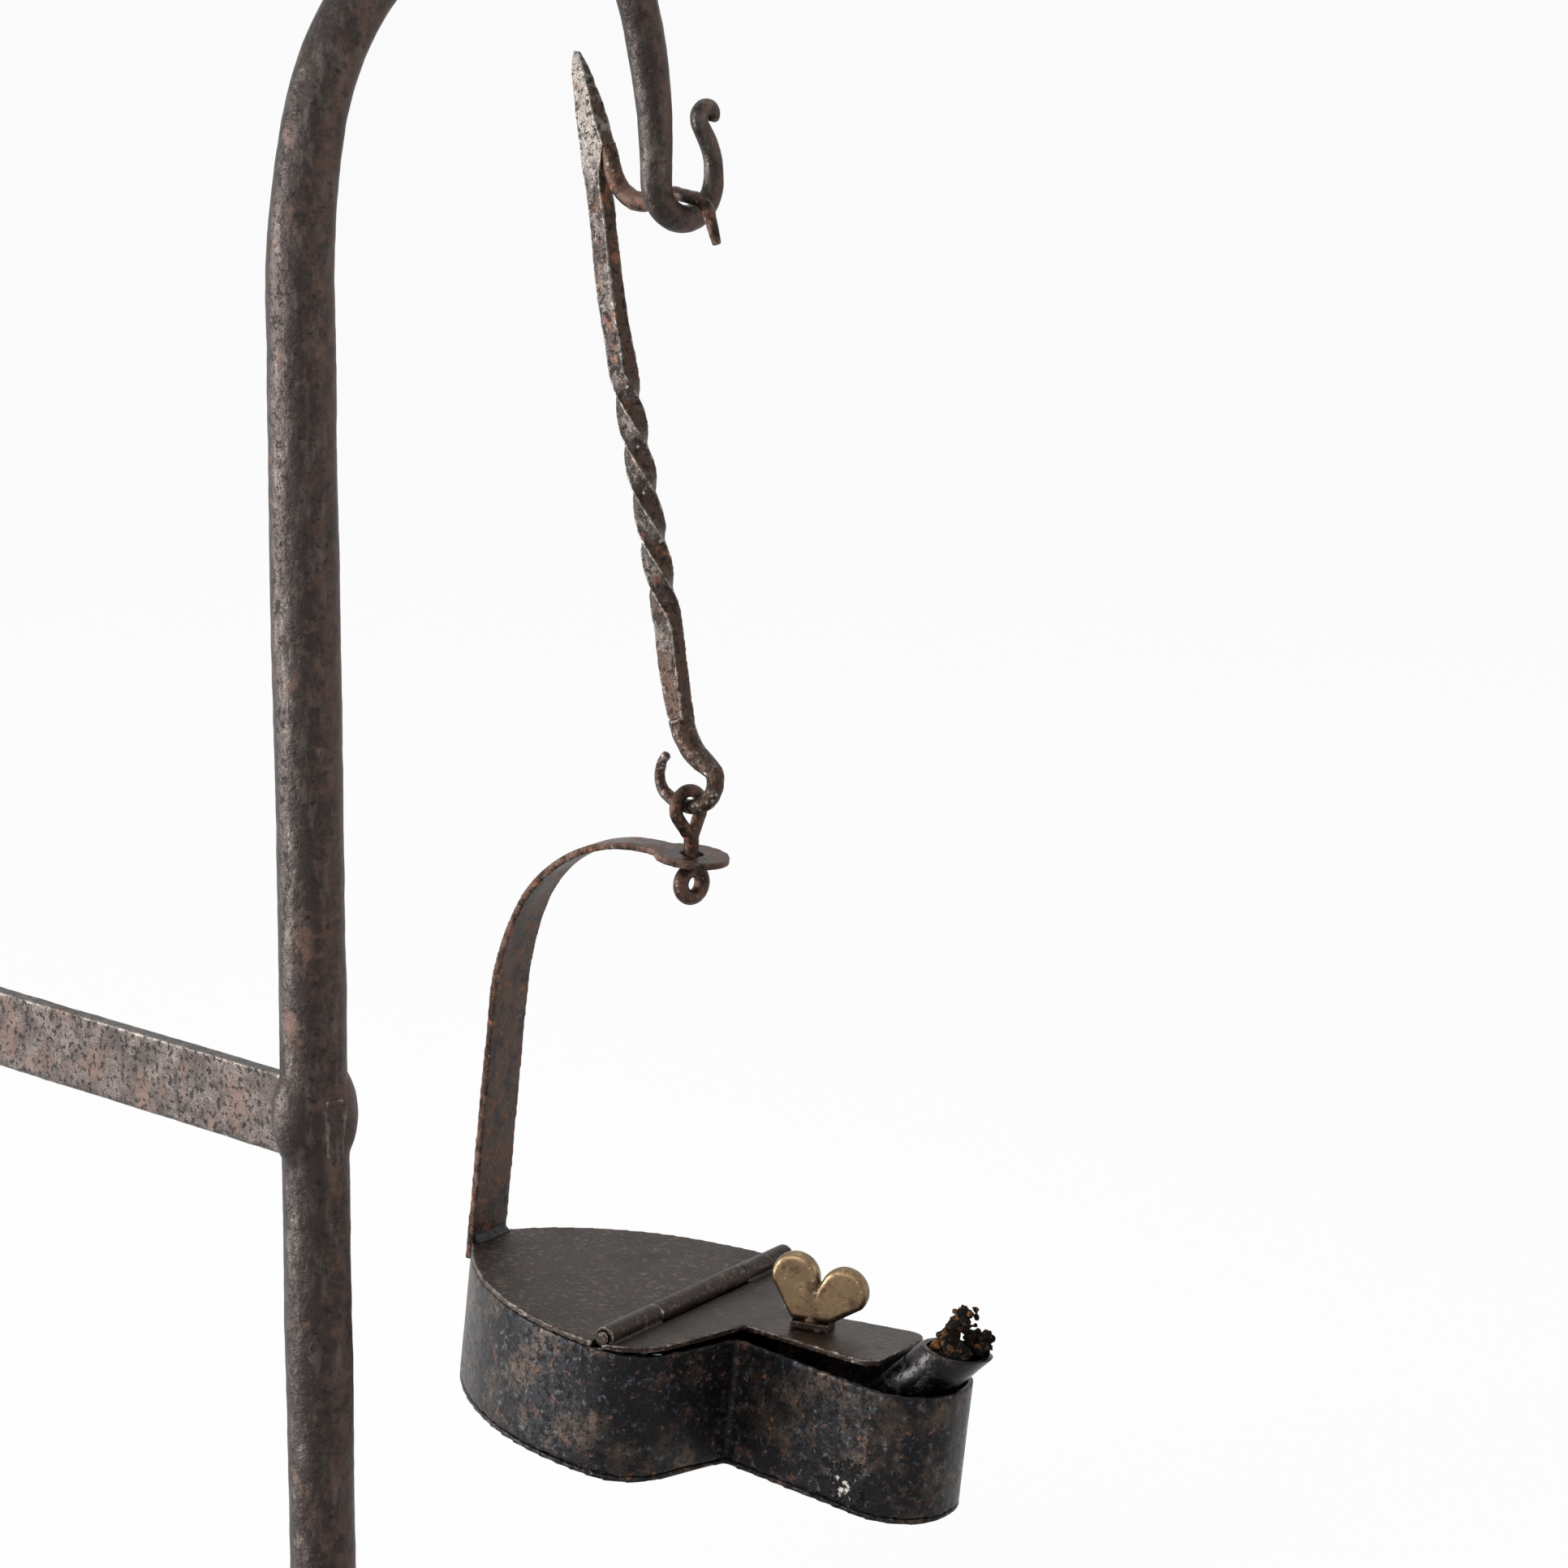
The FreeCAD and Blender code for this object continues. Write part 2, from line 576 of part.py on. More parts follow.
def build_rear_rivets():
    grip_start = -size.bar_thickness / 2 - size.leg_thickness
    grip_end = size.bar_thickness / 2
    bulge = (size.rivet_head_radius ** 2 + size.rivet_head_height ** 2) / (2 * size.rivet_head_height)
    rivets = []
    for level in rivet_levels():
        centre = Vector(0, size.stretcher_reach, level)
        shank = Part.makeCylinder(size.rivet_radius, grip_end - grip_start,
                                  centre + Vector(grip_start, 0, 0), Vector(1, 0, 0))
        for face, side in ((grip_start, -1), (grip_end, 1)):
            seat = centre + Vector(face, 0, 0)
            sunk = side * (bulge - size.rivet_head_height)
            dome = Part.makeSphere(bulge, seat - Vector(sunk, 0, 0))
            depth = size.rivet_head_height + OVERRUN
            keep = Part.makeCylinder(bulge + OVERRUN, depth, seat, Vector(side, 0, 0))
            shank = shank.fuse(dome.common(keep))
        rivets.append(shank.removeSplitter())
    return set_solid("rear_leg_rivets", Part.makeCompound(rivets))


# Hanger: spiked shaft with a twist and a C hook, and the hook arm welded to it.

# Slope of the arm where it rests on the J hook, and its turns from there, in degrees: down to
# the tip, into the fall and up out of the dip.
ARM_SLOPE = 6.5
ARM_TIP_TURN = 62
ARM_FALL_TURN = 19.5
ARM_DIP_TURN = 85
# Arm radius from the tip to the weld, as shares of the radius where it rests.
ARM_RADIUS_SHARES = (0.67, 1, 1.04, 1, 1, 1.2, 1.55, 1.3, 1.2)


def arm_segments():
    """Hook arm from its tip over the J hook to the weld, about the seat as (0, 0)."""
    rest = (0, size.hook_radius + size.seat_gap + size.arm_radius)
    to_tip = bent_line(rest, 180 + ARM_SLOPE, [(size.arm_rest_run, 0),
                                               (size.arm_tip_bend, ARM_TIP_TURN),
                                               (size.arm_tip_run, 0)])
    to_weld = bent_line(rest, ARM_SLOPE, [(size.arm_lead_run, 0), (size.arm_fall_bend, -ARM_FALL_TURN),
                                          (size.arm_fall_run, 0), (size.arm_dip_bend, ARM_DIP_TURN),
                                          (size.arm_end_run, 0)])
    return reversed_line(to_tip) + to_weld


# Turns of the C hook in degrees from its lowest place to its tip and to its neck.
CHOOK_TIP_TURNS = (30, 60, 53)
CHOOK_NECK_TURNS = (30, 60, 65, 51)
# Radius of the C hook from its tip to its neck, as shares of its bar's radius.
CHOOK_RADIUS_SHARES = (0.63, 0.73, 0.87, 1, 1.07, 1.15, 1.25, 1.45, 1.75)


def chook_segments():
    """C hook from its tip to its neck, with its lowest place at (0, -hanger_drop)."""
    seat = (0, -size.hanger_drop)
    half, side, end = CHOOK_TIP_TURNS
    to_tip = bent_line(seat, 0, [(size.chook_seat_bend, half), (size.chook_near_bend, side),
                                 (size.chook_tip_bend, end)])
    half, side, shoulder, neck = CHOOK_NECK_TURNS
    to_neck = bent_line(seat, 180, [(size.chook_rise_bend, -half), (size.chook_side_bend, -side),
                                    (size.chook_shoulder_bend, -shoulder), (size.chook_neck_run, 0),
                                    (size.chook_neck_bend, neck)])
    return reversed_line(to_tip) + to_neck


# Shaft sections from the weld (0) to the C hook's neck (1): place, and bow, half thickness and
# half width as shares of the shaft's; above its twist, and below it.
UPPER_SHAFT_SHARES = ((0, 0, 1, 1.5), (0.03, 0.3, 1.03, 1.24), (0.058, 0.56, 1, 1),
                      (0.113, 0.58, 1, 0.92), (0.143, 0.7, 0.88, 0.97), (0.205, 0.87, 1, 1.02),
                      (0.268, 1, 1, 1), (0.35, 0.85, 1.03, 1))
LOWER_SHAFT_SHARES = ((0.84, -0.1, 0.93, 1.13), (0.906, 0.06, 0.92, 1.15), (1, 0, 1, 0.98))
# Place and bow where the twist begins and ends.
TWIST_END_SHARES = ((0.395, 0.79), (0.81, -0.04))
# Spike sections above the weld: place up the spike, half thickness and half width as shares.
SPIKE_SHARES = ((1, 0.2, 0.34), (0.86, 0.51, 0.64), (0.69, 0.72, 0.85), (0.51, 0.85, 1.05),
                (0.34, 1.05, 1.14), (0.17, 1.05, 1.32))
TWIST_STEP = 22.5


def build_hanger():
    arm = arm_segments()
    chook = chook_segments()
    top = in_bar_plane(arm[-1].end) + Vector(0, size.weld_reach, 0)
    bottom = in_bar_plane(chook[-1].end)

    def middle(place, bow_share):
        return top + (bottom - top) * place + Vector(0, bow_share * size.shaft_bow, 0)

    def flat(place, bow_share, thick_share, wide_share):
        return (middle(place, bow_share), thick_share * size.shaft_half_thickness,
                wide_share * size.shaft_half_width, 0)
    spike = [(top + Vector(0, size.spike_lean, size.spike_rise) * place,
              thick * size.shaft_half_thickness, wide * size.shaft_half_width, 0)
             for place, thick, wide in SPIKE_SHARES]
    start, end = [middle(*shares) for shares in TWIST_END_SHARES]
    steps = max(2, round(360 * size.twist_turns / TWIST_STEP))
    twist = [(start + (end - start) * (number / steps), size.twist_half, size.twist_half,
              360 * size.twist_turns * number / steps) for number in range(steps + 1)]
    upper = lofted_bar(spike + [flat(*shares) for shares in UPPER_SHAFT_SHARES] + twist[:1], True)
    lower = lofted_bar([(end, size.twist_half, size.twist_half, 0)]
                       + [flat(*shares) for shares in LOWER_SHAFT_SHARES], True)
    radii = [share * size.chook_radius for share in CHOOK_RADIUS_SHARES]
    hook = swept_bar(chook, radii, in_bar_plane, Vector(1, 0, 0))
    shaft = upper.fuse([lofted_bar(twist, False), lower, hook])
    shaft_piece = set_solid("hanger_shaft", shaft)
    arm_radii = [share * size.arm_radius for share in ARM_RADIUS_SHARES]
    arm_bar = set_solid("hanger_arm_bar", swept_bar(arm, arm_radii, in_bar_plane, Vector(1, 0, 0)))
    shaft_tool = set_solid("hanger_weld_face", shaft)
    return [shaft_piece, combine("Cut", "hanger_hook", arm_bar, shaft_tool)]


# Swivel link: teardrop loop on the C hook, stem through the disc, and flattened lower eye.

LOOP_POINT_ANGLE = 32

loop_top = -size.hanger_drop + size.chook_radius + size.link_gap + size.link_radius
loop_centre = loop_top - size.loop_bend
loop_point = loop_centre - size.loop_bend / math.sin(math.radians(LOOP_POINT_ANGLE))
stem_bottom = loop_point - size.stem_run
lower_eye_centre = stem_bottom - size.lower_eye_bend


def build_swivel_link():
    side_run = size.loop_bend / math.tan(math.radians(LOOP_POINT_ANGLE))
    turn = (180 + 2 * LOOP_POINT_ANGLE) / 2
    half_loop = bent_line((0, loop_point), 90 + LOOP_POINT_ANGLE,
                          [(side_run, 0), (size.loop_bend, -turn)])
    half = swept_bar(half_loop, [size.link_radius] * 3, in_crook_plane, Vector(0, 1, 0))
    loop = half.fuse(half.mirror(Vector(), Vector(1, 0, 0)))
    lean = math.degrees(math.asin(size.stem_offset / (loop_top - loop_point)))
    loop.rotate(Vector(0, 0, loop_top), Vector(0, 1, 0), -lean)
    ring = set_solid("swivel_loop", loop)
    tip = primitive("Sphere", "swivel_point", {"Radius": "sizes.stem_radius"},
                    Vector(size.stem_offset, 0, loop_point))
    stem = primitive("Cylinder", "swivel_stem",
                     {"Radius": "sizes.stem_radius", "Height": "sizes.stem_run"},
                     Vector(size.stem_offset, 0, stem_bottom))
    eye = primitive("Torus", "swivel_eye",
                    {"Radius1": "sizes.lower_eye_bend", "Radius2": "sizes.lower_eye_radius"},
                    Vector(size.stem_offset, 0, lower_eye_centre), Rotation(Vector(1, 0, 0), 90))
    return combine("Fuse", "swivel_link", ring, tip, stem, eye)


# Lamp, in its own frame: x from its back to its spout, z up from its underside.

wall_top = size.lamp_height - size.top_thickness
hinge_height = wall_top + size.lid_gap + size.barrel_radius
back_half = size.strap_width / 2
spout_shoulder = size.lamp_length - size.spout_corner
lid_reach = size.lamp_length - size.lobe_station - size.lid_setback


def back_arc(station):
    """Arc of the lamp's side from the back corner to a station behind the widest place."""
    rise = size.lobe_half - back_half
    radius = (size.lobe_station ** 2 + rise ** 2) / (2 * rise)
    centre = (size.lobe_station, size.lobe_half - radius)

    def on_arc(x):
        return (x, centre[1] + math.sqrt(radius ** 2 - (size.lobe_station - x) ** 2))
    return [((0, back_half), on_arc(station / 2), on_arc(station))]


def front_side(shoulder, corner, front, start, inset=0):
    """Side from the widest place round the lobe and the neck, and round a front corner."""
    nose = (size.lobe_station, size.lobe_half - size.lobe_nose)
    neck_half = size.neck_half - inset
    away = (size.neck_station - nose[0], neck_half - nose[1])
    distance = math.hypot(*away)
    touch = math.degrees(math.atan2(away[1], away[0]) + math.acos(size.lobe_nose / distance))
    leave = step(nose, touch, size.lobe_nose, 0)
    slope = (size.spout_half - size.neck_half) / (spout_shoulder - size.neck_station)
    side_half = neck_half + slope * (shoulder - size.neck_station)
    turn = (front - shoulder, corner)
    middle = (shoulder + turn[0] * math.sin(math.pi / 4),
              side_half - turn[1] * (1 - math.cos(math.pi / 4)))
    neck = (size.neck_station, neck_half)
    chain = [((size.lobe_station, size.lobe_half), step(nose, (90 + touch) / 2, size.lobe_nose, 0), leave),
             (leave, None, neck),
             (neck, None, (shoulder, side_half)),
             ((shoulder, side_half), middle, (front, side_half - corner))]
    return [tuple(None if p is None else (p[0] - start, p[1]) for p in part) for part in chain]


def closed(half_chain):
    """Whole outline from its upper half, closed across the front and the back."""
    front = half_chain[-1][2]
    back = half_chain[0][0]
    lower = mirrored(half_chain)
    return half_chain + [(front, None, (front[0], -front[1]))] + lower + [((back[0], -back[1]), None, back)]


def lamp_outline():
    return closed(back_arc(size.lobe_station)
                  + front_side(spout_shoulder, size.spout_corner, size.lamp_length, 0))


def build_lamp_floor():
    body = new_body("lamp_floor")
    sketch = new_sketch(body, "floor_profile", "XY_Plane")
    draw(sketch, lamp_outline())
    feature(body, "Pad", "floor_plate", sketch, "sizes.floor_thickness")
    return body


def build_lamp_wall():
    height = "sizes.lamp_height - sizes.top_thickness - sizes.floor_thickness"
    outer = extrusion("wall_outer", lamp_outline(), height, offset=Vector(0, 0, size.floor_thickness))
    inset = doc.addObject("Part::Offset2D", "wall_inset")
    inset.Source = doc.getObject("wall_outer_outline")
    inset.setExpression("Value", "-sizes.wall_thickness")
    inset.Join = "Intersection"
    inner = doc.addObject("Part::Extrusion", "wall_inner")
    inner.Base = inset
    inner.DirMode = "Custom"
    inner.Dir = Vector(0, 0, 1)
    inner.setExpression("LengthFwd", height)
    inner.Solid = True
    return combine("Cut", "lamp_wall", outer, inner)


def build_top_plate():
    body = new_body("top_plate")
    edge = size.lobe_station - size.barrel_radius - size.lid_gap
    sketch = new_sketch(body, "top_profile", "XY_Plane", wall_top)
    draw(sketch, closed(back_arc(edge)))
    feature(body, "Pad", "top_sheet", sketch, "sizes.top_thickness")
    half = size.knuckle_half - size.lid_gap / 2
    tongue = new_sketch(body, "tongue_profile", "XY_Plane", wall_top)
    inside = edge - size.barrel_radius
    draw(tongue, polygon([(inside, -half), (size.lobe_station, -half), (size.lobe_station, half),
                          (inside, half)]))
    feature(body, "Pad", "tongue", tongue, "sizes.top_thickness")
    knuckle = new_sketch(body, "fixed_knuckle_profile", "XZ_Plane")
    draw_circle(knuckle, (size.lobe_station, hinge_height), "barrel_radius")
    feature(body, "Pad", "fixed_knuckle", knuckle, "2 * sizes.knuckle_half - sizes.lid_gap",
            both_ways=True)
    bore = new_sketch(body, "fixed_bore_profile", "XZ_Plane")
    draw_circle(bore, (size.lobe_station, hinge_height), "pin_radius", "pin_gap")
    through_pocket(body, "fixed_bore", bore)
    return body


def build_hinge_pin():
    body = new_body("hinge_pin")
    sketch = new_sketch(body, "pin_profile", "XZ_Plane")
    draw_circle(sketch, (size.lobe_station, hinge_height), "pin_radius")
    feature(body, "Pad", "pin_rod", sketch,
            "2 * (sizes.lobe_half - sizes.barrel_inset + sizes.pin_proud)", both_ways=True)
    return body


# Handle strap: bends as shares of the height left above its straight part, and turns.
STRAP_BEND_SHARES = ((1.5, 20), (0.7, 45), (0.83, 25))
# Width along the strap's height: height share, and share of the way to the neck's width.
STRAP_WIDTH_SHARES = ((0, 0), (0.56, 0.05), (0.75, 0.2), (0.85, 0.5), (0.95, 0.95), (1.1, 1))


def strap_moves():
    bend_scale = size.strap_reach
    moves = [(size.strap_rise - size.strap_foot, 0)]
    moves += [(share * bend_scale, -turn) for share, turn in STRAP_BEND_SHARES]
    return moves


strap_line = bent_line((-size.strap_thickness / 2, size.strap_foot), 90, strap_moves())
disc_level = strap_line[-1].end[1]


def build_handle_strap():
    end_run = size.strap_reach - strap_line[-1].end[0] - size.disc_hole_radius - size.strap_thickness
    line = bent_line(strap_line[0].start, 90, strap_moves() + [(end_run, 0)])
    strip = extrusion("strap_strip", strip_chain(line, size.strap_thickness / 2),
                      "2 * sizes.strap_width", UPRIGHT_X, both_ways=True)
    rise = disc_level - size.strap_foot
    neck = (size.strap_width - size.strap_neck_width) / 2
    side = [(size.strap_width / 2 - share * neck, size.strap_foot + place * rise)
            for place, share in STRAP_WIDTH_SHARES]
    outline = polygon(side + [(-y, z) for y, z in reversed(side)])
    taper = extrusion("strap_taper", outline, "4 * sizes.strap_reach", UPRIGHT_Y, both_ways=True)
    strap = combine("Common", "strap_iron", strip, taper)
    disc = primitive("Cylinder", "strap_disc",
                     {"Radius": "sizes.disc_radius", "Height": "sizes.disc_thickness"},
                     Vector(size.strap_reach, 0, disc_level - size.disc_thickness / 2))
    joined = combine("Fuse", "strap_joined", strap, disc)
    reach = size.strap_thickness + OVERRUN
    hole = primitive("Cylinder", "strap_hole", {"Radius": "sizes.disc_hole_radius"},
                     Vector(size.strap_reach, 0, disc_level - reach))
    hole.Height = 2 * reach
    return combine("Cut", "handle_strap", joined, hole)


def build_braze_bead():
    body = new_body("braze_bead")
    sketch = new_sketch(body, "bead_profile", "XZ_Plane")
    low = (0, size.lamp_height)
    front = (size.bead_size, size.lamp_height)
    high = (0, size.lamp_height + size.bead_size)
    hollow = (size.bead_size * 0.36, size.lamp_height + size.bead_size * 0.36)
    draw(sketch, [(low, None, front), (front, hollow, high), (high, None, low)])
    feature(body, "Pad", "bead", sketch, "sizes.strap_width * 0.9", both_ways=True)
    return body


# Wick holder and wick.

strand_ring = (size.strand_radius + size.strand_gap / 2) * 2 / math.sqrt(3)
holder_bore = strand_ring + size.strand_radius + size.strand_gap
holder_radius = holder_bore + size.holder_wall


def lid_edge_at_rest():
    """Lower front edge of the lid at rest, in the lamp's frame."""
    edge = step((size.lobe_station, hinge_height), size.lid_lift, lid_reach, -size.barrel_radius)
    return edge


def holder_axis_station(height):
    """Place along the lamp where the holder's axis is at a height."""
    edge = lid_edge_at_rest()
    tilt = math.radians(size.holder_tilt)
    offset = holder_radius + size.lid_gap
    on_axis = (edge[0] + offset * math.sin(tilt), edge[1] - offset * math.cos(tilt))
    return on_axis[0] + (height - on_axis[1]) / math.tan(tilt)


def build_wick_holder():
    mouth = Vector(holder_axis_station(size.holder_mouth), 0, size.holder_mouth)
    along = Rotation(Vector(0, 1, 0), 90 - size.holder_tilt)
    reach = size.lamp_height + size.lamp_length
    start = mouth - along.multVec(Vector(0, 0, reach))
    tube = primitive("Cylinder", "holder_tube", {}, start, along)
    tube.Radius = holder_radius
    tube.Height = 2 * reach
    bore = primitive("Cylinder", "holder_bore", {}, start, along)
    bore.Radius = holder_bore
    bore.Height = 2 * reach
    ring = combine("Cut", "holder_ring", tube, bore)
    slab = primitive("Box", "holder_slab", {"Height": "sizes.holder_mouth - sizes.floor_thickness"},
                     Vector(-reach, -reach, size.floor_thickness))
    slab.Length = 3 * reach
    slab.Width = 2 * reach
    kept = combine("Common", "holder_kept", ring, slab)
    upward = Rotation(Vector(0, 1, 0), -size.holder_tilt)
    opening_end = Vector(holder_axis_station(size.holder_open), 0, size.holder_open)
    opening = primitive("Box", "holder_opening", {},
                        opening_end - upward.multVec(Vector(reach, reach, 0)), upward)
    opening.Length = reach
    opening.Width = 2 * reach
    opening.Height = reach
    return combine("Cut", "wick_holder", kept, opening)


# Tips of the strands past the holder's mouth: along the lamp, across and up, as shares of
# the holder's radius.
STRAND_TIP_SHARES = ((-0.35, -0.62, 0.75), (0.95, 0.5, 0.7), (0.15, 0, 1.5))


def build_wick():
    strands = []
    tilt = size.holder_tilt
    for number, shares in enumerate(STRAND_TIP_SHARES):
        angle = math.radians(90 + 120 * (number + 1))
        across = strand_ring * math.cos(angle)
        above = strand_ring * math.sin(angle)
        level = size.floor_thickness + size.holder_wall + size.strand_radius + strand_ring + above
        bend = size.strand_bend - above
        corner = step((holder_axis_station(0), 0), tilt, 0, above)
        bend_end_height = level + bend * (1 - math.cos(math.radians(tilt)))
        end_station = corner[0] + (bend_end_height - corner[1]) / math.tan(math.radians(tilt))
        bend_start = end_station - bend * math.sin(math.radians(tilt))
        rise = (size.holder_mouth - bend_end_height) / math.sin(math.radians(tilt))
        line = bent_line((bend_start - size.strand_tail, level), 0,
                         [(size.strand_tail, 0), (bend, tilt), (rise, 0)])
        strand = swept_bar(line, [size.strand_radius] * 4,
                           lambda p, side=across: Vector(p[0], side, p[1]), Vector(0, 1, 0))
        mouth = Vector(line[-1].end[0], across, line[-1].end[1])
        tip = Vector(holder_axis_station(size.holder_mouth), 0, size.holder_mouth)
        tip = tip + Vector(*shares) * holder_radius
        knee = Part.makeSphere(size.strand_radius, mouth)
        tuft = Part.makeCone(size.strand_radius, size.tuft_radius, (tip - mouth).Length,
                             mouth, tip - mouth)
        strands.append(set_solid(f"wick_strand_{number + 1}", strand.fuse([knee, tuft])))
    return strands


# Lid, in its own frame: the hinge axis is its origin, and it is drawn closed.

# Place of the thumb piece, as a share of the lid's reach.
THUMB_STATION_SHARE = 0.565
thumb_station = THUMB_STATION_SHARE * lid_reach


def build_lid_flap():
    body = new_body("lid_flap")
    front = size.lobe_station + lid_reach
    half = front_side(front - size.lid_corner, size.lid_corner, front, size.lobe_station, size.lid_inset)
    sketch = new_sketch(body, "lid_profile", "XY_Plane", -size.barrel_radius)
    draw(sketch, closed(half))
    feature(body, "Pad", "lid_sheet", sketch, "sizes.top_thickness")
    barrel = new_sketch(body, "barrel_profile", "XZ_Plane")
    draw_circle(barrel, (0, 0), "barrel_radius")
    feature(body, "Pad", "barrel", barrel, "2 * (sizes.lobe_half - sizes.barrel_inset)", both_ways=True)
    notch = new_sketch(body, "notch_profile", "XY_Plane")
    reach = size.barrel_radius + size.lid_gap
    half_notch = size.knuckle_half + size.lid_gap / 2
    draw(notch, polygon([(-reach, -half_notch), (reach, -half_notch), (reach, half_notch),
                         (-reach, half_notch)]))
    through_pocket(body, "notch", notch)
    bore = new_sketch(body, "lid_bore_profile", "XZ_Plane")
    draw_circle(bore, (0, 0), "pin_radius", "pin_gap")
    through_pocket(body, "lid_bore", bore)
    hole = new_sketch(body, "thumb_hole_profile", "XY_Plane")
    draw_circle(hole, (thumb_station, 0), "thumb_tenon", "rivet_gap")
    through_pocket(body, "thumb_hole", hole)
    return body


lid_face = size.top_thickness - size.barrel_radius
lid_under = -size.barrel_radius


def build_thumb_base():
    body = new_body("thumb_base")
    sketch = new_sketch(body, "seat_profile", "XY_Plane", lid_face)
    x, y = size.seat_length / 2, size.seat_width / 2
    draw(sketch, polygon([(-x, -y), (x, -y), (x, y), (-x, y)]))
    feature(body, "Pad", "seat_block", sketch, "sizes.seat_height")
    hole = new_sketch(body, "seat_hole_profile", "XY_Plane")
    draw_circle(hole, (0, 0), "thumb_tenon", "rivet_gap")
    through_pocket(body, "seat_hole", hole)
    return body


# Thumb piece outline: places across and up as shares of its half width and height.
THUMB_STEM_SHARE = 0.42
THUMB_LOBE_SHARES = ((0.935, 0.426), (0.64, 0.987), (0.045, 0.7))
THUMB_NOTCH_SHARE = 0.6


def build_thumb_wing():
    body = new_body("thumb_wing_iron")
    foot = lid_face + size.seat_height

    def at(side, across_share, up_share):
        return step((0, foot), -size.thumb_lean, side * across_share * size.thumb_half_width,
                    up_share * size.thumb_height)
    stem = THUMB_STEM_SHARE * size.thumb_half_width
    notch = at(1, 0, THUMB_NOTCH_SHARE)
    outer, crown, inner = [at(1, *shares) for shares in THUMB_LOBE_SHARES]
    front = [((stem, foot), None, outer), (outer, crown, inner), (inner, None, notch)]
    outer, crown, inner = [at(-1, *shares) for shares in THUMB_LOBE_SHARES]
    rear = [(notch, None, inner), (inner, crown, outer), (outer, None, (-stem, foot))]
    sketch = new_sketch(body, "wing_profile", "XZ_Plane")
    draw(sketch, front + rear + [((-stem, foot), None, (stem, foot))])
    feature(body, "Pad", "wing_plate", sketch, "sizes.thumb_thickness", both_ways=True)
    doc.recompute()
    rounding = body.newObject("PartDesign::Fillet", "wing_rounding")
    rounding.Base = (doc.getObject("wing_plate"), face_edges(doc.getObject("wing_plate").Shape))
    rounding.setExpression("Radius", "sizes.thumb_round")
    body.Tip = rounding
    tenon = primitive("Cylinder", "thumb_tenon_rod",
                      {"Radius": "sizes.thumb_tenon",
                       "Height": "sizes.top_thickness + sizes.seat_height + sizes.thumb_height / 4"},
                      Vector(0, 0, lid_under))
    peen = primitive("Cone", "thumb_peen_head",
                     {"Radius1": "sizes.thumb_tenon", "Radius2": "sizes.thumb_peen",
                      "Height": "sizes.thumb_peen_height"},
                     Vector(0, 0, lid_under - size.thumb_peen_height))
    return combine("Fuse", "thumb_wing", body, tenon, peen)


def face_edges(shape):
    """Names of the edges round the lobes of the two flat faces of the wing."""
    names = []
    for number, edge in enumerate(shape.Edges, start=1):
        box = edge.BoundBox
        flat = box.YLength < box.ZLength and box.ZMin > shape.BoundBox.ZMin
        if flat or edge.Curve.TypeId == "Part::GeomCircle":
            names.append(f"Edge{number}")
    return names


# Places of the pieces.

def turned(degrees, axis):
    return Rotation(axis, degrees)


lamp_turn = turned(size.lamp_yaw, Vector(0, 0, 1)) * turned(size.lamp_tip, Vector(0, 1, 0))
disc_underside = lower_eye_centre + size.lower_eye_bend + size.lower_eye_radius + size.disc_gap
disc_seat = hook_seat + Vector(size.stem_offset, 0, disc_underside)
disc_mark = Vector(size.strap_reach, 0, disc_level - size.disc_thickness / 2)
lamp_place = Placement(disc_seat - lamp_turn.multVec(disc_mark), lamp_turn)
lid_place = lamp_place * Placement(Vector(size.lobe_station, 0, hinge_height),
                                   turned(-size.lid_lift, Vector(0, 1, 0)))
thumb_place = lid_place * Placement(Vector(thumb_station, 0, 0),
                                    turned(size.thumb_turn, Vector(0, 0, 1)))
seat_place = Placement(hook_seat, Rotation())

pieces = {}


def place(placement, *made):
    for piece in made:
        pieces[piece] = placement


place(Placement(), build_upright(), build_foot_collar(), build_foot_arch(), build_stretcher_bar(),
      build_rear_leg(), build_rear_rivets())
place(seat_place, *build_hanger(), build_swivel_link())
place(lamp_place, build_handle_strap(), build_braze_bead(), build_lamp_wall(), build_lamp_floor(),
      build_top_plate(), build_hinge_pin(), build_wick_holder(), *build_wick())
place(lid_place, build_lid_flap())
place(thumb_place, build_thumb_base(), build_thumb_wing())
doc.recompute()

# The origin goes to the middle of the footprint, at floor level.
for piece, placement in pieces.items():
    piece.Placement = placement
doc.recompute()
bounds = FreeCAD.BoundBox()
for piece in pieces:
    bounds.add(piece.Shape.BoundBox)
shift = Vector(-bounds.Center.x, -bounds.Center.y, 0)
for piece, placement in pieces.items():
    piece.Placement = Placement(shift, Rotation()) * placement
doc.recompute()

faults = [item.Name for item in doc.Objects if "Invalid" in item.State or "Error" in item.State]
faults += [piece.Label for piece in pieces if piece.Shape.isNull() or not piece.Shape.isValid()]
if faults:
    raise RuntimeError(f"failed objects: {faults}")

os.makedirs("parts", exist_ok=True)
for piece in pieces:
    piece.Shape.exportStep(os.path.join("parts", f"{piece.Label}.step"))
    box = piece.Shape.BoundBox
    print(f"{piece.Label:18} solids {len(piece.Shape.Solids)} volume {piece.Shape.Volume:9.1f}"
          f" x {box.XMin:7.1f} {box.XMax:7.1f} y {box.YMin:7.1f} {box.YMax:7.1f}"
          f" z {box.ZMin:7.1f} {box.ZMax:7.1f}")

seat = hook_seat + shift
print("hook seat", seat)
print("link seat", seat - Vector(0, 0, size.hanger_drop))
print("disc seat", disc_seat + shift)
lid_axis = (Placement(shift, Rotation()) * lid_place)
print("lid hinge", lid_axis.Base, lid_axis.Rotation.multVec(Vector(0, 1, 0)))
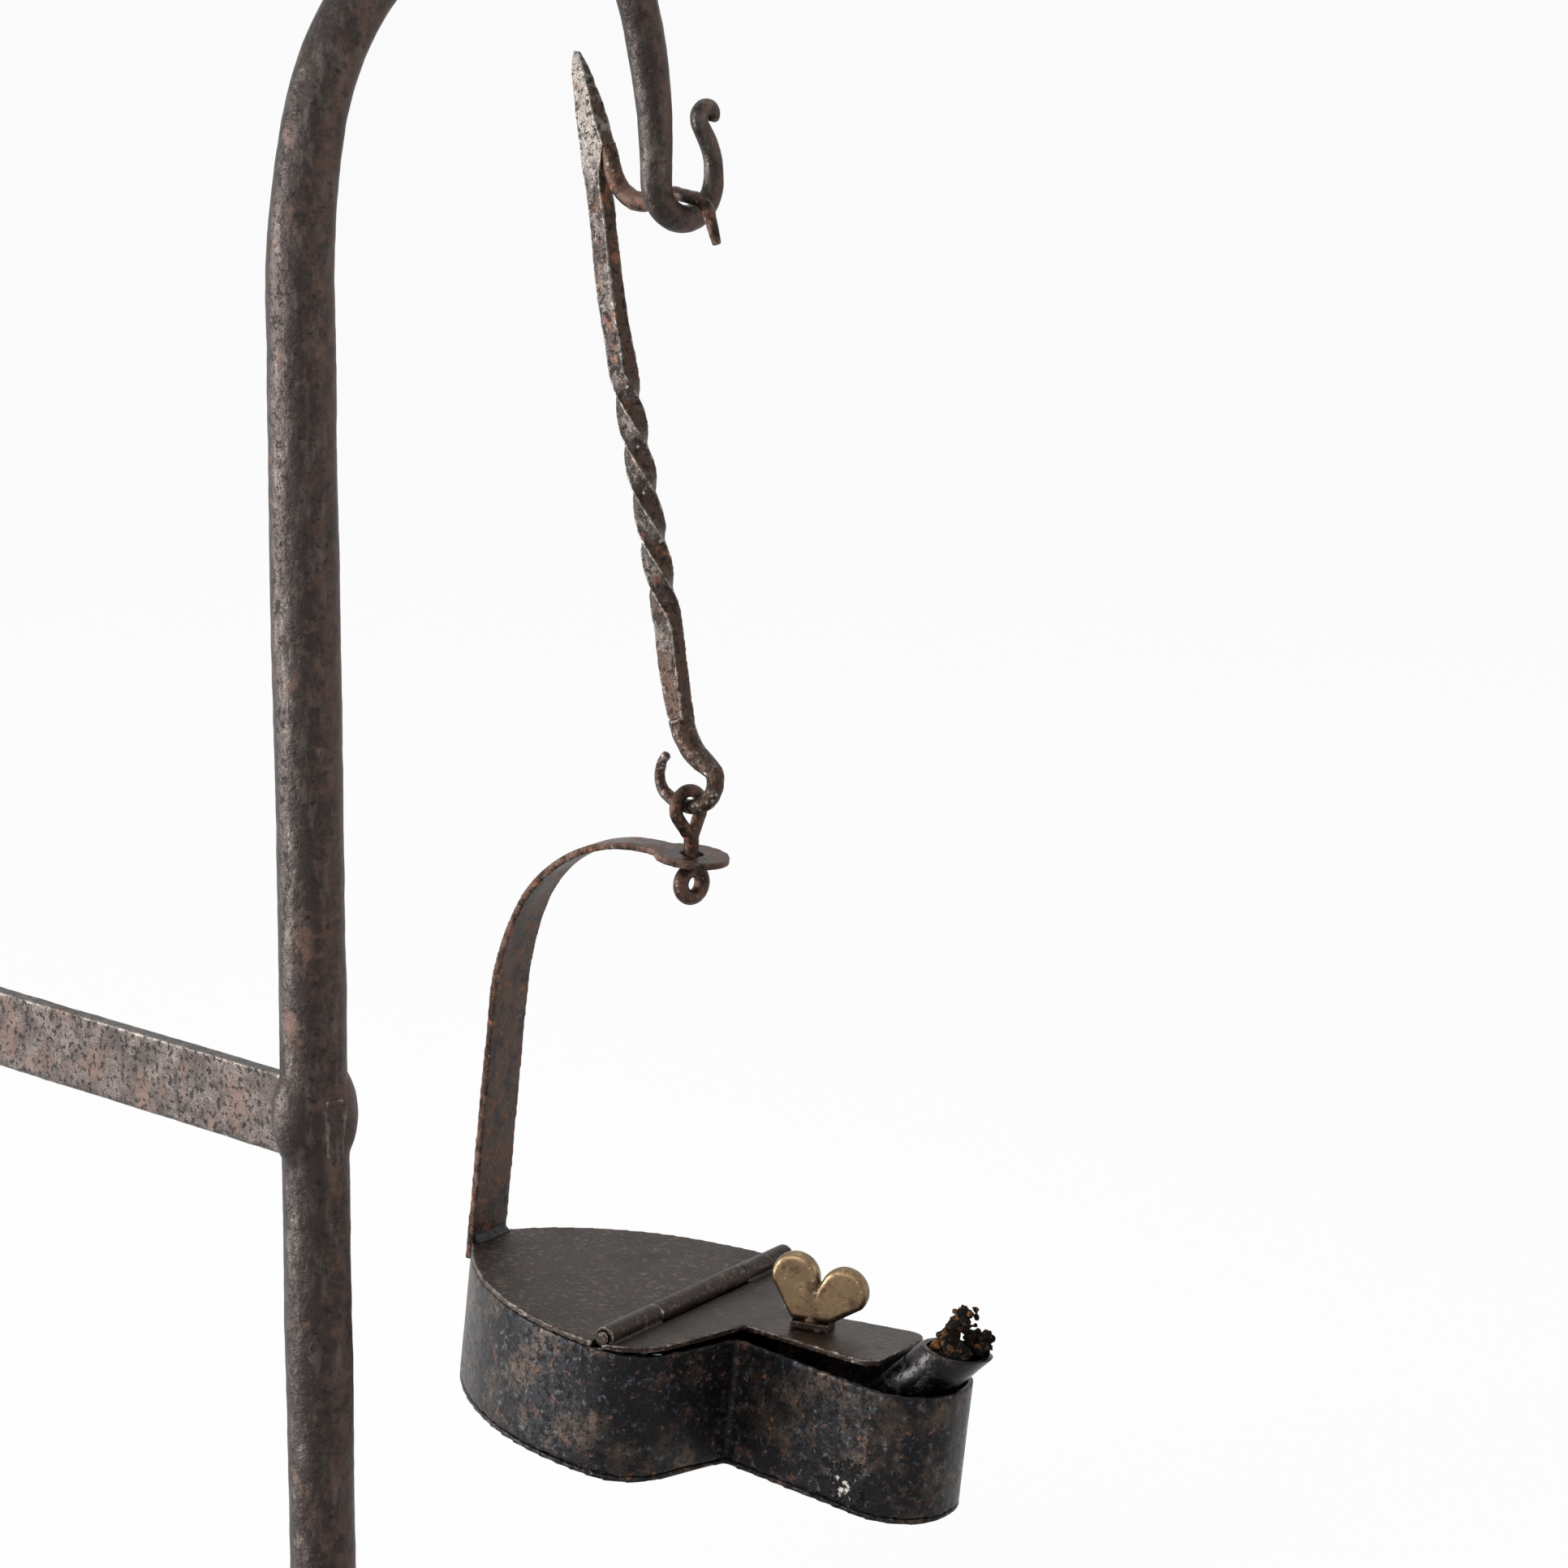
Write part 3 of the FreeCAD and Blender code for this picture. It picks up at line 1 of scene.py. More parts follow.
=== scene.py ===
"""The looks of a forged iron stand with its hanging grease lamp.

Laid out as an add-on and run as a script. Lengths in the code are metres, and the names that
end in _mm hold millimetres.
"""

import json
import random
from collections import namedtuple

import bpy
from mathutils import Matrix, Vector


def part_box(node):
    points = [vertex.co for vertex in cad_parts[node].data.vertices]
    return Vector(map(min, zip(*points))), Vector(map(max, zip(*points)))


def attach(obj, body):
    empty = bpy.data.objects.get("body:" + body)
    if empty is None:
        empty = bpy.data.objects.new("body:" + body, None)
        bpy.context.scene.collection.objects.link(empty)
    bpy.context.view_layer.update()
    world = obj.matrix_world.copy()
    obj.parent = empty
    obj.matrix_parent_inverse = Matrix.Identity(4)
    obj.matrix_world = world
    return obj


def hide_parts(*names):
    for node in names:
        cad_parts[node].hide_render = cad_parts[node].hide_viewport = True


bl_info = {
    "name": "Betty Lamp Stand",
    "version": (1, 0, 0),
    "blender": (4, 5, 0),
    "location": "3D View > Sidebar > Lamp Stand",
    "description": "Builds the finished pieces of a forged iron stand with its grease lamp",
    "category": "Add Mesh",
}

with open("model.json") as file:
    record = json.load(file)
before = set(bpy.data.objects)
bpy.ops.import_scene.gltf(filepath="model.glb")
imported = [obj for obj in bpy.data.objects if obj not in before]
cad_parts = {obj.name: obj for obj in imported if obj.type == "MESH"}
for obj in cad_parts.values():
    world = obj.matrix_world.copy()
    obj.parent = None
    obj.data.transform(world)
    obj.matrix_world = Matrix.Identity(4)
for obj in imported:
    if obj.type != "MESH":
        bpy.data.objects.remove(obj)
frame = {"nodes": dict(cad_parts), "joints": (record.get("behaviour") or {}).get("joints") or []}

MM = 0.001
UP = Vector((0, 0, 1))

# Camera, placed from the rod's foot on the floor.
PHOTO_PIXELS = 1932
FOCAL_PIXELS = 6340
SENSOR_MM = 36
CAMERA_MM = (-570.5, -740.1, 389.8)
CAMERA_VIEW = (0.6693, 0.7177, -0.1920)
CLIP_NEAR = 0.05
CLIP_FAR = 50

# Floor, and the place that the lights point at.
FLOOR_SIZE = 30
FLOOR_GLOW = 0.94
LIGHT_AIM = (0.05, -0.05, 0.2)

# Sizes on the pieces.
MERGE_MM = 0.002
RIM_DEPTH_MM = 0.05
SHOULDER_INSET_MM = 3
TENON_SPREAD = (1.35, 1, 1.08)
TAR_PLACE_MM = (45, -12.8, -25)
TUFT_SPREAD_MM = 1.8
TUFT_DEPTH_MM = (0.3, 3)
CLUMP_RADIUS_MM = (0.45, 0.95)


# Small tools.

def linear_colour(code):
    """Colour for a shader from an sRGB hex code."""
    parts = [int(code[i:i + 2], 16) / 255 for i in (0, 2, 4)]
    return tuple(c / 12.92 if c <= 0.04045 else ((c + 0.055) / 1.055) ** 2.4 for c in parts)


def pattern_scale(size_mm):
    """Scale of a pattern on Object coordinates whose features are this large."""
    return 1 / (size_mm * MM)


def add_node(tree, kind, inputs=(), out=0, **settings):
    """Add a shader node with its settings and its inputs, values or sockets, and return an output."""
    made = tree.nodes.new(kind)
    for name, value in settings.items():
        setattr(made, name, value)
    for name, value in dict(inputs).items():
        if isinstance(value, bpy.types.NodeSocket):
            tree.links.new(value, made.inputs[name])
        else:
            made.inputs[name].default_value = value
    return made.outputs[out] if len(made.outputs) else made


def only(*pieces):
    """Select these pieces and nothing else."""
    if bpy.context.object and bpy.context.object.mode != "OBJECT":
        bpy.ops.object.mode_set(mode="OBJECT")
    bpy.ops.object.select_all(action="DESELECT")
    for piece in pieces:
        piece.select_set(True)
    bpy.context.view_layer.objects.active = pieces[0]


def apply_modifier(piece, kind, **settings):
    """Add a modifier with its settings and apply it."""
    only(piece)
    modifier = piece.modifiers.new(kind.lower(), kind)
    for name, value in settings.items():
        setattr(modifier, name, value)
    bpy.ops.object.modifier_apply(modifier=modifier.name)


def copy_of(node, name):
    """Copy of a CAD node as a new piece with its doubles merged."""
    source = frame["nodes"][node]
    piece = bpy.data.objects.new(name, source.data.copy())
    bpy.context.scene.collection.objects.link(piece)
    piece.data.materials.clear()
    only(piece)
    bpy.ops.object.mode_set(mode="EDIT")
    bpy.ops.mesh.select_all(action="SELECT")
    bpy.ops.mesh.remove_doubles(threshold=MERGE_MM * MM)
    bpy.ops.object.mode_set(mode="OBJECT")
    return piece


def clouds(name, size_mm, depth):
    """Cloud texture for a displacement, with features of this size."""
    texture = bpy.data.textures.new(name, "CLOUDS")
    texture.noise_scale = size_mm * MM
    texture.noise_depth = depth
    return texture


def displace(piece, texture, depth_mm):
    """Push the surface in and out by a texture, by this much from low to high."""
    apply_modifier(piece, "DISPLACE", texture=texture, strength=depth_mm * MM,
                   texture_coords="LOCAL")


def forge(piece, facet, dents, smoothing=2):
    """Give a copied CAD form an even skin, softened edges and the dents of its making."""
    apply_modifier(piece, "REMESH", mode="VOXEL", voxel_size=facet, adaptivity=0)
    apply_modifier(piece, "SMOOTH", factor=0.5, iterations=smoothing)
    for number, (size_mm, depth_mm, depth) in enumerate(dents):
        displace(piece, clouds(f"{piece.name}_dents_{number}", size_mm, depth), depth_mm)
    only(piece)
    bpy.ops.object.shade_smooth()


def finish_piece(piece, material, body, slot, *nodes):
    """Dress a piece, let it ride on its body and stand for its CAD nodes."""
    piece.data.materials.append(material)
    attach(piece, body)
    if nodes:
        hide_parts(*nodes)


def forged_piece(node, material, body, slot, facet, dents, smoothing=2):
    """Finished piece made from one CAD node."""
    piece = copy_of(node, f"{node}_forged")
    forge(piece, facet, dents, smoothing)
    finish_piece(piece, material, body, slot, node)
    return piece


# Settings that a user would change.

def colour_property(name, code, description):
    """Colour setting with an sRGB hex code as its default."""
    return bpy.props.FloatVectorProperty(name=name, description=description, subtype="COLOR",
                                         size=3, min=0, max=1, default=linear_colour(code))


def facet_property(name, size_mm, description):
    """Length setting for the facets of a skin."""
    return bpy.props.FloatProperty(name=name, description=description, default=size_mm * MM,
                                   min=0.1 * MM, unit="LENGTH", precision=5)


def power_property(name, watts, description):
    """Power setting of a light."""
    return bpy.props.FloatProperty(name=name, description=description, default=watts, min=0, unit="POWER")


class IronSettings(bpy.types.PropertyGroup):
    """Colours of the iron."""
    worn_tone: colour_property("Worn face", "756f69", "Face of the hanger, scraped and oiled")
    oiled_tone: colour_property("Oiled sheet", "121011", "Burnt-on oil on the wick holder")
    scale_tone: colour_property("Scale", "312b29", "Dark forge scale on the round bar")
    streak_tone: colour_property("Streaks", "5c5450", "Scale rubbed thin along the bar")
    # Also painted highlights: the light dots that stand for glints on the bubbles of the tar drip.
    bare_tone: colour_property("Bare iron", "a39d97", "Iron rubbed bare on faces and edges")
    rust_tone: colour_property("Rust", "573b2f", "Old brown rust")
    bright_rust_tone: colour_property("Bright rust", "7f4e32", "Newer orange rust")
    # Also a painted shade: the brown on the hanger's faces that turn towards one side.
    brown_tone: colour_property("Brown scale", "3a2b23", "Rusted scale of the link and strap")
    pit_tone: colour_property("Pits", "17110f", "Bottoms of the pits")
    sheet_tone: colour_property("Sheet", "1a1a1c", "Blackened sheet of the lamp")
    # Partly painted light: the blue-grey specks carry a painted sheen as well as the scale's colour.
    sheen_tone: colour_property("Sheen", "565c62", "Blue-grey sheen of the thin scale on the sheet")
    soot_tone: colour_property("Soot", "2a211c", "Sooty top of the lamp")
    grain_tone: colour_property("Grain", "635345", "Grains of soot and rust that catch the light")
    tar_tone: colour_property("Tar", "040404", "Drip of burnt grease on the spout")


class SkinSettings(bpy.types.PropertyGroup):
    """Facet sizes of the skin that each kind of piece gets."""
    bar_facet: facet_property("Bar facet", 0.62, "Facet size on the thick bars")
    hanger_facet: facet_property("Hanger facet", 0.24, "Facet size on the hanger")
    link_facet: facet_property("Link facet", 0.16, "Facet size on the swivel link")
    sheet_facet: facet_property("Sheet facet", 0.47, "Facet size on the large sheet pieces")
    fine_facet: facet_property("Fine facet", 0.26, "Facet size on the small sheet pieces")


class BrassSettings(bpy.types.PropertyGroup):
    """Colours of the thumb piece."""
    brass_tone: colour_property("Brass", "725e48", "Dull handled brass")
    tarnish_tone: colour_property("Tarnish", "43342a", "Tarnish in the hollows")
    polish_tone: colour_property("Polish", "a5906f", "Brass rubbed by the thumb")


class WickSettings(bpy.types.PropertyGroup):
    """Colours and fibres of the wick."""
    fibre_tone: colour_property("Fibre", "6b4528", "Oiled fibre near the holder")
    char_tone: colour_property("Char", "080706", "Charred tips")
    clump_count: bpy.props.IntProperty(name="Clumps", default=22, min=0, max=60,
                                       description="Clumps of burnt fibre round each strand's tip")


class StageSettings(bpy.types.PropertyGroup):
    """Floor, lamps and camera."""
    floor_tone: colour_property("Floor", "f6f6f6", "Pale floor")
    key_power: power_property("Key light", 12, "Large soft light at the left")
    rim_power: power_property("Rim light", 26, "Small soft light at the left, behind")
    fill_power: power_property("Fill light", 4, "Soft light at the right, in front")
    world_level: bpy.props.FloatProperty(name="Room light", default=0.3, min=0, max=1,
                                         description="Even light from the room")


GROUPS = {"iron": IronSettings, "skin": SkinSettings, "brass": BrassSettings,
          "wick": WickSettings, "stage": StageSettings}


def settings(group):
    """The scene's settings of a group."""
    return getattr(bpy.context.scene, f"lamp_stand_{group}")


def tone(path):
    """Colour of a setting, such as iron.rust_tone, for a shader."""
    group, name = path.split(".")
    return (*getattr(settings(group), name), 1)


# Materials. A finish is a skin with layers over it. Each layer has its colour, roughness and
# metal share, and covers the skin more as its pattern goes from low to high: a noise with
# features of its size, to which an edge layer adds the sharpness of the form, and a side layer
# how far the surface faces one side, which paints shade on the hanger and the rust's tone on the
# round bar. A spot layer takes the distance from a place away from it. Its depth in millimetres
# stands the layer proud or sinks it.

Skin = namedtuple("Skin", "tone roughness metallic")
Layer = namedtuple("Layer", "kind tone roughness metallic size_mm low high strength depth_mm stretch",
                   defaults=[(1, 1, 1)])
ALONG_BAR = (1, 1, 0.35)
# Side that the side layers look to: there the hanger gets a painted shade and the round bar the rust's tone.
SHADE_AND_RUST_SIDE = (0.45, -0.89, 0)
SPOT_MM = 25
SIDE_SHARE = 0.3
EDGE_NOISE_SHARE = 0.14
LAYER_NOISE = {"Detail": 8, "Roughness": 0.68}
GRIT_NOISE = {"Detail": 5, "Roughness": 0.65}

# Forged mild steel bar under the black scale of the fire: mauve-brown, softly glossy and
# hammered, with greyer streaks along the bar and the rust's tone on the faces that turn towards one side.
ROUND_BAR = (Skin("iron.scale_tone", 0.42, 0.9), 1.6, 0.3, (
    Layer("patch", "iron.streak_tone", 0.38, 0.95, 2.4, 0.5, 0.68, 0.6, 0.05, ALONG_BAR),
    Layer("patch", "iron.pit_tone", 0.5, 0.9, 1.4, 0.54, 0.66, 0.7, -0.08),
    Layer("side", "iron.rust_tone", 0.62, 0.4, 3, 0.68, 0.88, 0.5, 0.03),
    Layer("patch", "iron.rust_tone", 0.66, 0.2, 8, 0.58, 0.68, 0.75, 0.03),
    Layer("edge", "iron.bare_tone", 0.33, 0.95, 2, 0.6, 0.66, 0.5, 0)))

# Flat bar iron with the same scale, rubbed and rusted more: grey pitted faces, brown hollows.
FLAT_BAR = (Skin("iron.scale_tone", 0.42, 0.9), 0.5, 0.08, (
    Layer("patch", "iron.streak_tone", 0.38, 0.95, 5, 0.44, 0.7, 0.7, 0.08),
    Layer("patch", "iron.rust_tone", 0.66, 0.2, 9, 0.53, 0.66, 0.7, -0.06),
    Layer("patch", "iron.pit_tone", 0.6, 0.6, 1.4, 0.55, 0.63, 0.85, -0.14),
    Layer("edge", "iron.bare_tone", 0.33, 0.95, 2, 0.59, 0.66, 0.7, 0)))

# Old wrought iron: dark pitted scale with rust in it, dull grey where a hand rubs it, scraped
# to silver round its spike, and a brown painted shade on the faces that turn towards one side.
PITTED_IRON = (Skin("iron.scale_tone", 0.38, 0.95), 0.7, 0.22, (
    Layer("patch", "iron.streak_tone", 0.36, 0.95, 5, 0.46, 0.6, 0.65, 0.04),
    Layer("patch", "iron.worn_tone", 0.34, 1, 2.6, 0.55, 0.66, 0.5, 0.05),
    Layer("spot", "iron.worn_tone", 0.36, 1, 2.5, -0.55, -0.3, 0.65, 0.02),
    # Painted shade: brown laid on the faces that turn towards one side.
    Layer("side", "iron.brown_tone", 0.5, 0.85, 4, 0.58, 0.7, 0.95, 0),
    Layer("patch", "iron.bright_rust_tone", 0.75, 0.05, 4, 0.56, 0.65, 0.8, 0.05),
    Layer("spot", "iron.brown_tone", 0.38, 0.9, 3, -4.15, -4.4, 0.85, 0),
    Layer("patch", "iron.pit_tone", 0.5, 0.8, 1.4, 0.54, 0.6, 0.9, -0.2),
    Layer("edge", "iron.bare_tone", 0.3, 1, 1.5, 0.585, 0.63, 0.6, 0)))

# Wrought iron left damp: brown rusted scale, dark flakes, and bare metal where it rubs.
RUSTED_IRON = (Skin("iron.brown_tone", 0.36, 0.9), 0.6, 0.16, (
    Layer("patch", "iron.rust_tone", 0.66, 0.2, 6, 0.46, 0.6, 0.7, 0.05),
    Layer("patch", "iron.bright_rust_tone", 0.75, 0.05, 2.4, 0.54, 0.62, 0.9, 0.06),
    Layer("patch", "iron.pit_tone", 0.34, 0.9, 5, 0.5, 0.58, 0.85, 0.06),
    Layer("patch", "iron.worn_tone", 0.32, 0.95, 1.4, 0.61, 0.68, 0.7, 0.04),
    Layer("edge", "iron.worn_tone", 0.3, 0.95, 1.5, 0.6, 0.66, 0.6, 0)))

# Sheet iron blackened by heat and grease: near black with a haze of brown-grey, blue-grey specks
# of thin scale that also carry a painted sheen, rust freckles, and one glossy drip of tar low on
# the spout, whose bubbles have painted glints of light.
BLACK_SHEET = (Skin("iron.sheet_tone", 0.36, 0.9), 0.7, 0.1, (
    Layer("patch", "iron.grain_tone", 0.4, 0.8, 12, 0.5, 0.72, 0.6, 0.08),
    Layer("patch", "iron.rust_tone", 0.6, 0.4, 5, 0.57, 0.68, 0.6, 0.04),
    # Blue-grey specks: thin scale with a painted sheen.
    Layer("patch", "iron.sheen_tone", 0.3, 0.95, 1.6, 0.56, 0.66, 0.65, 0.06),
    Layer("patch", "iron.bright_rust_tone", 0.75, 0.05, 2.2, 0.61, 0.67, 0.85, 0.06),
    Layer("patch", "iron.pit_tone", 0.45, 0.9, 1.3, 0.53, 0.62, 0.85, -0.1),
    Layer("spot", "iron.tar_tone", 0.2, 0.8, 2.2, 0.27, 0.29, 1, 0.3),
    # Painted highlights: light dots on the tar drip stand for glints of light on its bubbles.
    Layer("spot", "iron.bare_tone", 0.3, 0.3, 1.5, 0.49, 0.52, 1, 0.25)))

# The lid's sheet, greased and wiped: brown-black, a little glossy, with the top's sandy grain.
WIPED_SHEET = (Skin("iron.soot_tone", 0.4, 0.85), 0.6, 0.1, (
    Layer("patch", "iron.grain_tone", 0.4, 0.7, 1.3, 0.54, 0.64, 0.6, 0.05),
    Layer("patch", "iron.pit_tone", 0.45, 0.8, 8, 0.48, 0.66, 0.75, -0.04),
    Layer("patch", "iron.rust_tone", 0.7, 0.1, 5, 0.61, 0.7, 0.6, 0.03),
    Layer("edge", "iron.bare_tone", 0.3, 0.95, 2.5, 0.6, 0.65, 0.8, 0)))

# The wick holder's sheet under burnt oil: black, glossy and lumpy.
OILED_SHEET = (Skin("iron.oiled_tone", 0.24, 0.7), 0.8, 0.1, (
    Layer("patch", "iron.soot_tone", 0.45, 0.5, 3, 0.52, 0.66, 0.8, 0.12),
    Layer("patch", "iron.grain_tone", 0.3, 0.8, 0.9, 0.63, 0.7, 0.6, 0.1)))

# Sheet iron under burnt-on soot: brown-black and matt, with a sandy grain. The grain is
# 1.3 mm, coarser than the real one, so that it shows.
SOOTY_SHEET = (Skin("iron.soot_tone", 0.5, 0.75), 0.6, 0.16, (
    Layer("patch", "iron.grain_tone", 0.42, 0.6, 1.3, 0.53, 0.63, 0.75, 0.08),
    Layer("patch", "iron.pit_tone", 0.55, 0.8, 9, 0.5, 0.68, 0.6, -0.04),
    Layer("patch", "iron.rust_tone", 0.72, 0.1, 4, 0.58, 0.68, 0.7, 0.04),
    Layer("edge", "iron.bare_tone", 0.34, 0.9, 3, 0.6, 0.65, 0.75, 0)))

# Cast brass, dulled brown-grey by handling, tarnished in its hollows and rubbed at its rims.
HANDLED_BRASS = (Skin("brass.brass_tone", 0.36, 1), 0.4, 0.02, (
    Layer("patch", "brass.tarnish_tone", 0.55, 1, 4, 0.48, 0.62, 0.8, -0.04),
    Layer("patch", "iron.pit_tone", 0.6, 1, 1.2, 0.6, 0.68, 0.7, -0.06),
    Layer("edge", "brass.polish_tone", 0.3, 1, 3, 0.57, 0.64, 0.8, 0)))

# Cotton wick: matt black char, with oiled brown fibre left near the holder's mouth.
CHARRED_COTTON = (Skin("wick.char_tone", 0.95, 0), 0.45, 0.2, (
    Layer("patch", "wick.fibre_tone", 0.85, 0, 1.8, 0.52, 0.6, 0.85, -0.1),
    Layer("spot", "wick.fibre_tone", 0.85, 0, 1.6, 0.34, 0.44, 0.9, 0.1)))


def new_material(name):
    """Material and its empty node tree."""
    material = bpy.data.materials.new(name)
    material.use_nodes = True
    tree = material.node_tree
    tree.nodes.clear()
    return material, tree


def layer_cover(tree, place, layer, spot):
    """How far a layer covers what lies under it, from none to its strength."""
    if layer.stretch != (1, 1, 1):
        place = add_node(tree, "ShaderNodeMapping", {"Vector": place, "Scale": layer.stretch})
    pattern = add_node(tree, "ShaderNodeTexNoise", {
        "Vector": place, "Scale": pattern_scale(layer.size_mm), **LAYER_NOISE})
    if layer.kind == "edge":
        sharpness = add_node(tree, "ShaderNodeNewGeometry", out="Pointiness")
        pattern = add_node(tree, "ShaderNodeMath", {0: pattern, 1: EDGE_NOISE_SHARE, 2: sharpness},
                           operation="MULTIPLY_ADD")
    # Side layer: covers faces more as they turn towards one side; on the hanger this is a painted shade.
    if layer.kind == "side":
        facing = add_node(tree, "ShaderNodeVectorMath", {
            0: add_node(tree, "ShaderNodeTexCoord", out="Normal"), 1: SHADE_AND_RUST_SIDE}, "Value",
            operation="DOT_PRODUCT")
        pattern = add_node(tree, "ShaderNodeMath", {0: facing, 1: SIDE_SHARE, 2: pattern},
                           operation="MULTIPLY_ADD")
    if layer.kind == "spot":
        away = add_node(tree, "ShaderNodeVectorMath", {0: place, 1: spot}, "Value", operation="DISTANCE")
        pattern = add_node(tree, "ShaderNodeMath", {0: away, 1: -pattern_scale(SPOT_MM), 2: pattern},
                           operation="MULTIPLY_ADD")
    return add_node(tree, "ShaderNodeMapRange", {
        "Value": pattern, "From Min": layer.low, "From Max": layer.high, "To Max": layer.strength})


def finished_skin(name, finish, spot=None, **extra):
    """Material of a finish: its skin, its layers over it in turn, and its grit."""
    skin, grit_mm, grit_depth_mm, layers = finish
    material, tree = new_material(name)
    place = add_node(tree, "ShaderNodeTexCoord", out="Object")
    inputs = {"Base Color": tone(skin.tone), "Roughness": skin.roughness, "Metallic": skin.metallic}
    bumps = []
    for layer in layers:
        cover = layer_cover(tree, place, layer, spot)
        inputs["Base Color"] = add_node(tree, "ShaderNodeMix", {
            "Factor": cover, 6: inputs["Base Color"], 7: tone(layer.tone)}, 2, data_type="RGBA")
        for socket, value, whole in (("Roughness", layer.roughness, skin.roughness),
                                     ("Metallic", layer.metallic, skin.metallic)):
            if value != whole or isinstance(inputs[socket], bpy.types.NodeSocket):
                inputs[socket] = add_node(tree, "ShaderNodeMix", {
                    "Factor": cover, 2: inputs[socket], 3: value})
        bumps.append((cover, layer.depth_mm))
    grit = add_node(tree, "ShaderNodeTexNoise", {
        "Vector": place, "Scale": pattern_scale(grit_mm), **GRIT_NOISE})
    for height, depth_mm in bumps + [(grit, grit_depth_mm)]:
        if depth_mm:
            relief = {"Height": height, "Strength": 1, "Distance": abs(depth_mm) * MM}
            if "Normal" in inputs:
                relief["Normal"] = inputs["Normal"]
            inputs["Normal"] = add_node(tree, "ShaderNodeBump", relief, invert=depth_mm < 0)
    surface = add_node(tree, "ShaderNodeBsdfPrincipled", {**inputs, **extra})
    add_node(tree, "ShaderNodeOutputMaterial", {"Surface": surface})
    return material


MATERIALS = {}


def make_materials():
    """Make each finish once, from the settings."""
    mouth, _ = holder_mouth()
    MATERIALS.update({
        "round_bar": finished_skin("scaled_round_bar", ROUND_BAR),
        "flat_bar": finished_skin("scaled_flat_bar", FLAT_BAR),
        "hanger": finished_skin("pitted_wrought_iron", PITTED_IRON, spike_tip()),
        "rusted": finished_skin("rusted_wrought_iron", RUSTED_IRON),
        "wall": finished_skin("blackened_sheet_iron", BLACK_SHEET, spout_spot()),
        "lid": finished_skin("wiped_sheet_iron", WIPED_SHEET),
        "holder": finished_skin("oiled_sheet_iron", OILED_SHEET),
        "top": finished_skin("sooty_sheet_iron", SOOTY_SHEET),
        "brass": finished_skin("handled_cast_brass", HANDLED_BRASS),
        "wick": finished_skin("charred_cotton_wick", CHARRED_COTTON, mouth, **{"Specular IOR Level": 0.15}),
    })


# Places on the lamp, read from the CAD.

def lamp_frame():
    """Length, width and normal axes of the lamp, and its hinge."""
    hinge = next(j for j in frame["joints"] if j["name"] == "lid_hinge")
    across = -Vector(hinge["axis"]).normalized()
    plate = [v.co.copy() for v in frame["nodes"]["lamp_floor"].data.vertices]
    origin = Vector(hinge["pos_m"])
    level = across.cross(UP).normalized()
    front = max(plate, key=lambda v: (v - origin).dot(level))
    rear = min(plate, key=lambda v: (v - origin).dot(level))
    length = front - rear
    length -= across * length.dot(across)
    length.normalize()
    return length, across, length.cross(across).normalized(), origin


def holder_mouth():
    """Middle of the wick holder's mouth and the direction in which the wick leaves it."""
    length, _, normal, origin = lamp_frame()
    vertices = [v.co.copy() for v in frame["nodes"]["wick_holder"].data.vertices]
    top = max((v - origin).dot(normal) for v in vertices)
    rim = [v for v in vertices if (v - origin).dot(normal) > top - RIM_DEPTH_MM * MM]
    middle = sum(rim, Vector()) / len(rim)
    return middle, (length + normal).normalized()


def spike_tip():
    """Tip of the hanger's spike."""
    return max((v.co.copy() for v in frame["nodes"]["hanger_shaft"].data.vertices), key=lambda v: v.z)


def spout_spot():
    """Place of the old tar drip low on the side of the spout that faces the camera."""
    length, across, normal, origin = lamp_frame()
    forward, sideways, up = TAR_PLACE_MM
    return origin + (length * forward + across * sideways + normal * up) * MM


# Pieces of the stand.

class LAMPSTAND_OT_upright(bpy.types.Operator):
    """Make the upright rod with its crook, and its collar"""
    bl_idname = "lamp_stand.upright"
    bl_label = "Upright and Crook"

    def execute(self, context):
        skin = settings("skin").bar_facet
        forged_piece("upright_crook", MATERIALS["round_bar"], "stand", "forged_iron", skin,
                     [(26, 0.5, 1), (4.5, 0.2, 2)])
        forged_piece("foot_collar", MATERIALS["flat_bar"], "stand", "forged_iron", skin / 1.5,
                     [(5, 0.2, 2)])
        return {"FINISHED"}


class LAMPSTAND_OT_base(bpy.types.Operator):
    """Make the flat bar, the rear leg with its rivets and the arched foot"""
    bl_idname = "lamp_stand.base"
    bl_label = "Flat Bar, Leg and Foot"

    def execute(self, context):
        skin = settings("skin").bar_facet
        for node, size in (("stretcher_bar", skin * 0.75), ("rear_leg", skin * 0.8),
                           ("rear_leg_rivets", skin / 3), ("foot_arch", skin)):
            piece = forged_piece(node, MATERIALS["flat_bar"], "stand", "forged_iron", size,
                                 [(14, 0.35, 2), (3, 0.12, 2)])
            if node == "stretcher_bar":
                dress_tenon(piece)
        return {"FINISHED"}


def dress_tenon(bar):
    """Hammer the end of the flat bar into the eye: fill the slot and take the round bar's finish."""
    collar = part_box("foot_collar")
    shoulder = collar[1][1] - SHOULDER_INSET_MM * MM
    only(bar)
    bpy.ops.object.mode_set(mode="EDIT")
    bpy.ops.mesh.select_mode(type="VERT")
    bpy.ops.mesh.select_all(action="DESELECT")
    bpy.ops.object.mode_set(mode="OBJECT")
    tenon = [vertex for vertex in bar.data.vertices if vertex.co.y < shoulder]
    for vertex in tenon:
        vertex.select = True
    middle = sum((vertex.co for vertex in tenon), Vector()) / len(tenon)
    bpy.ops.object.mode_set(mode="EDIT")
    bpy.ops.transform.resize(value=TENON_SPREAD, center_override=middle)
    bpy.ops.object.mode_set(mode="OBJECT")
    bar.data.materials.append(MATERIALS["round_bar"])
    for face in bar.data.polygons:
        if face.center.y < shoulder:
            face.material_index = 1


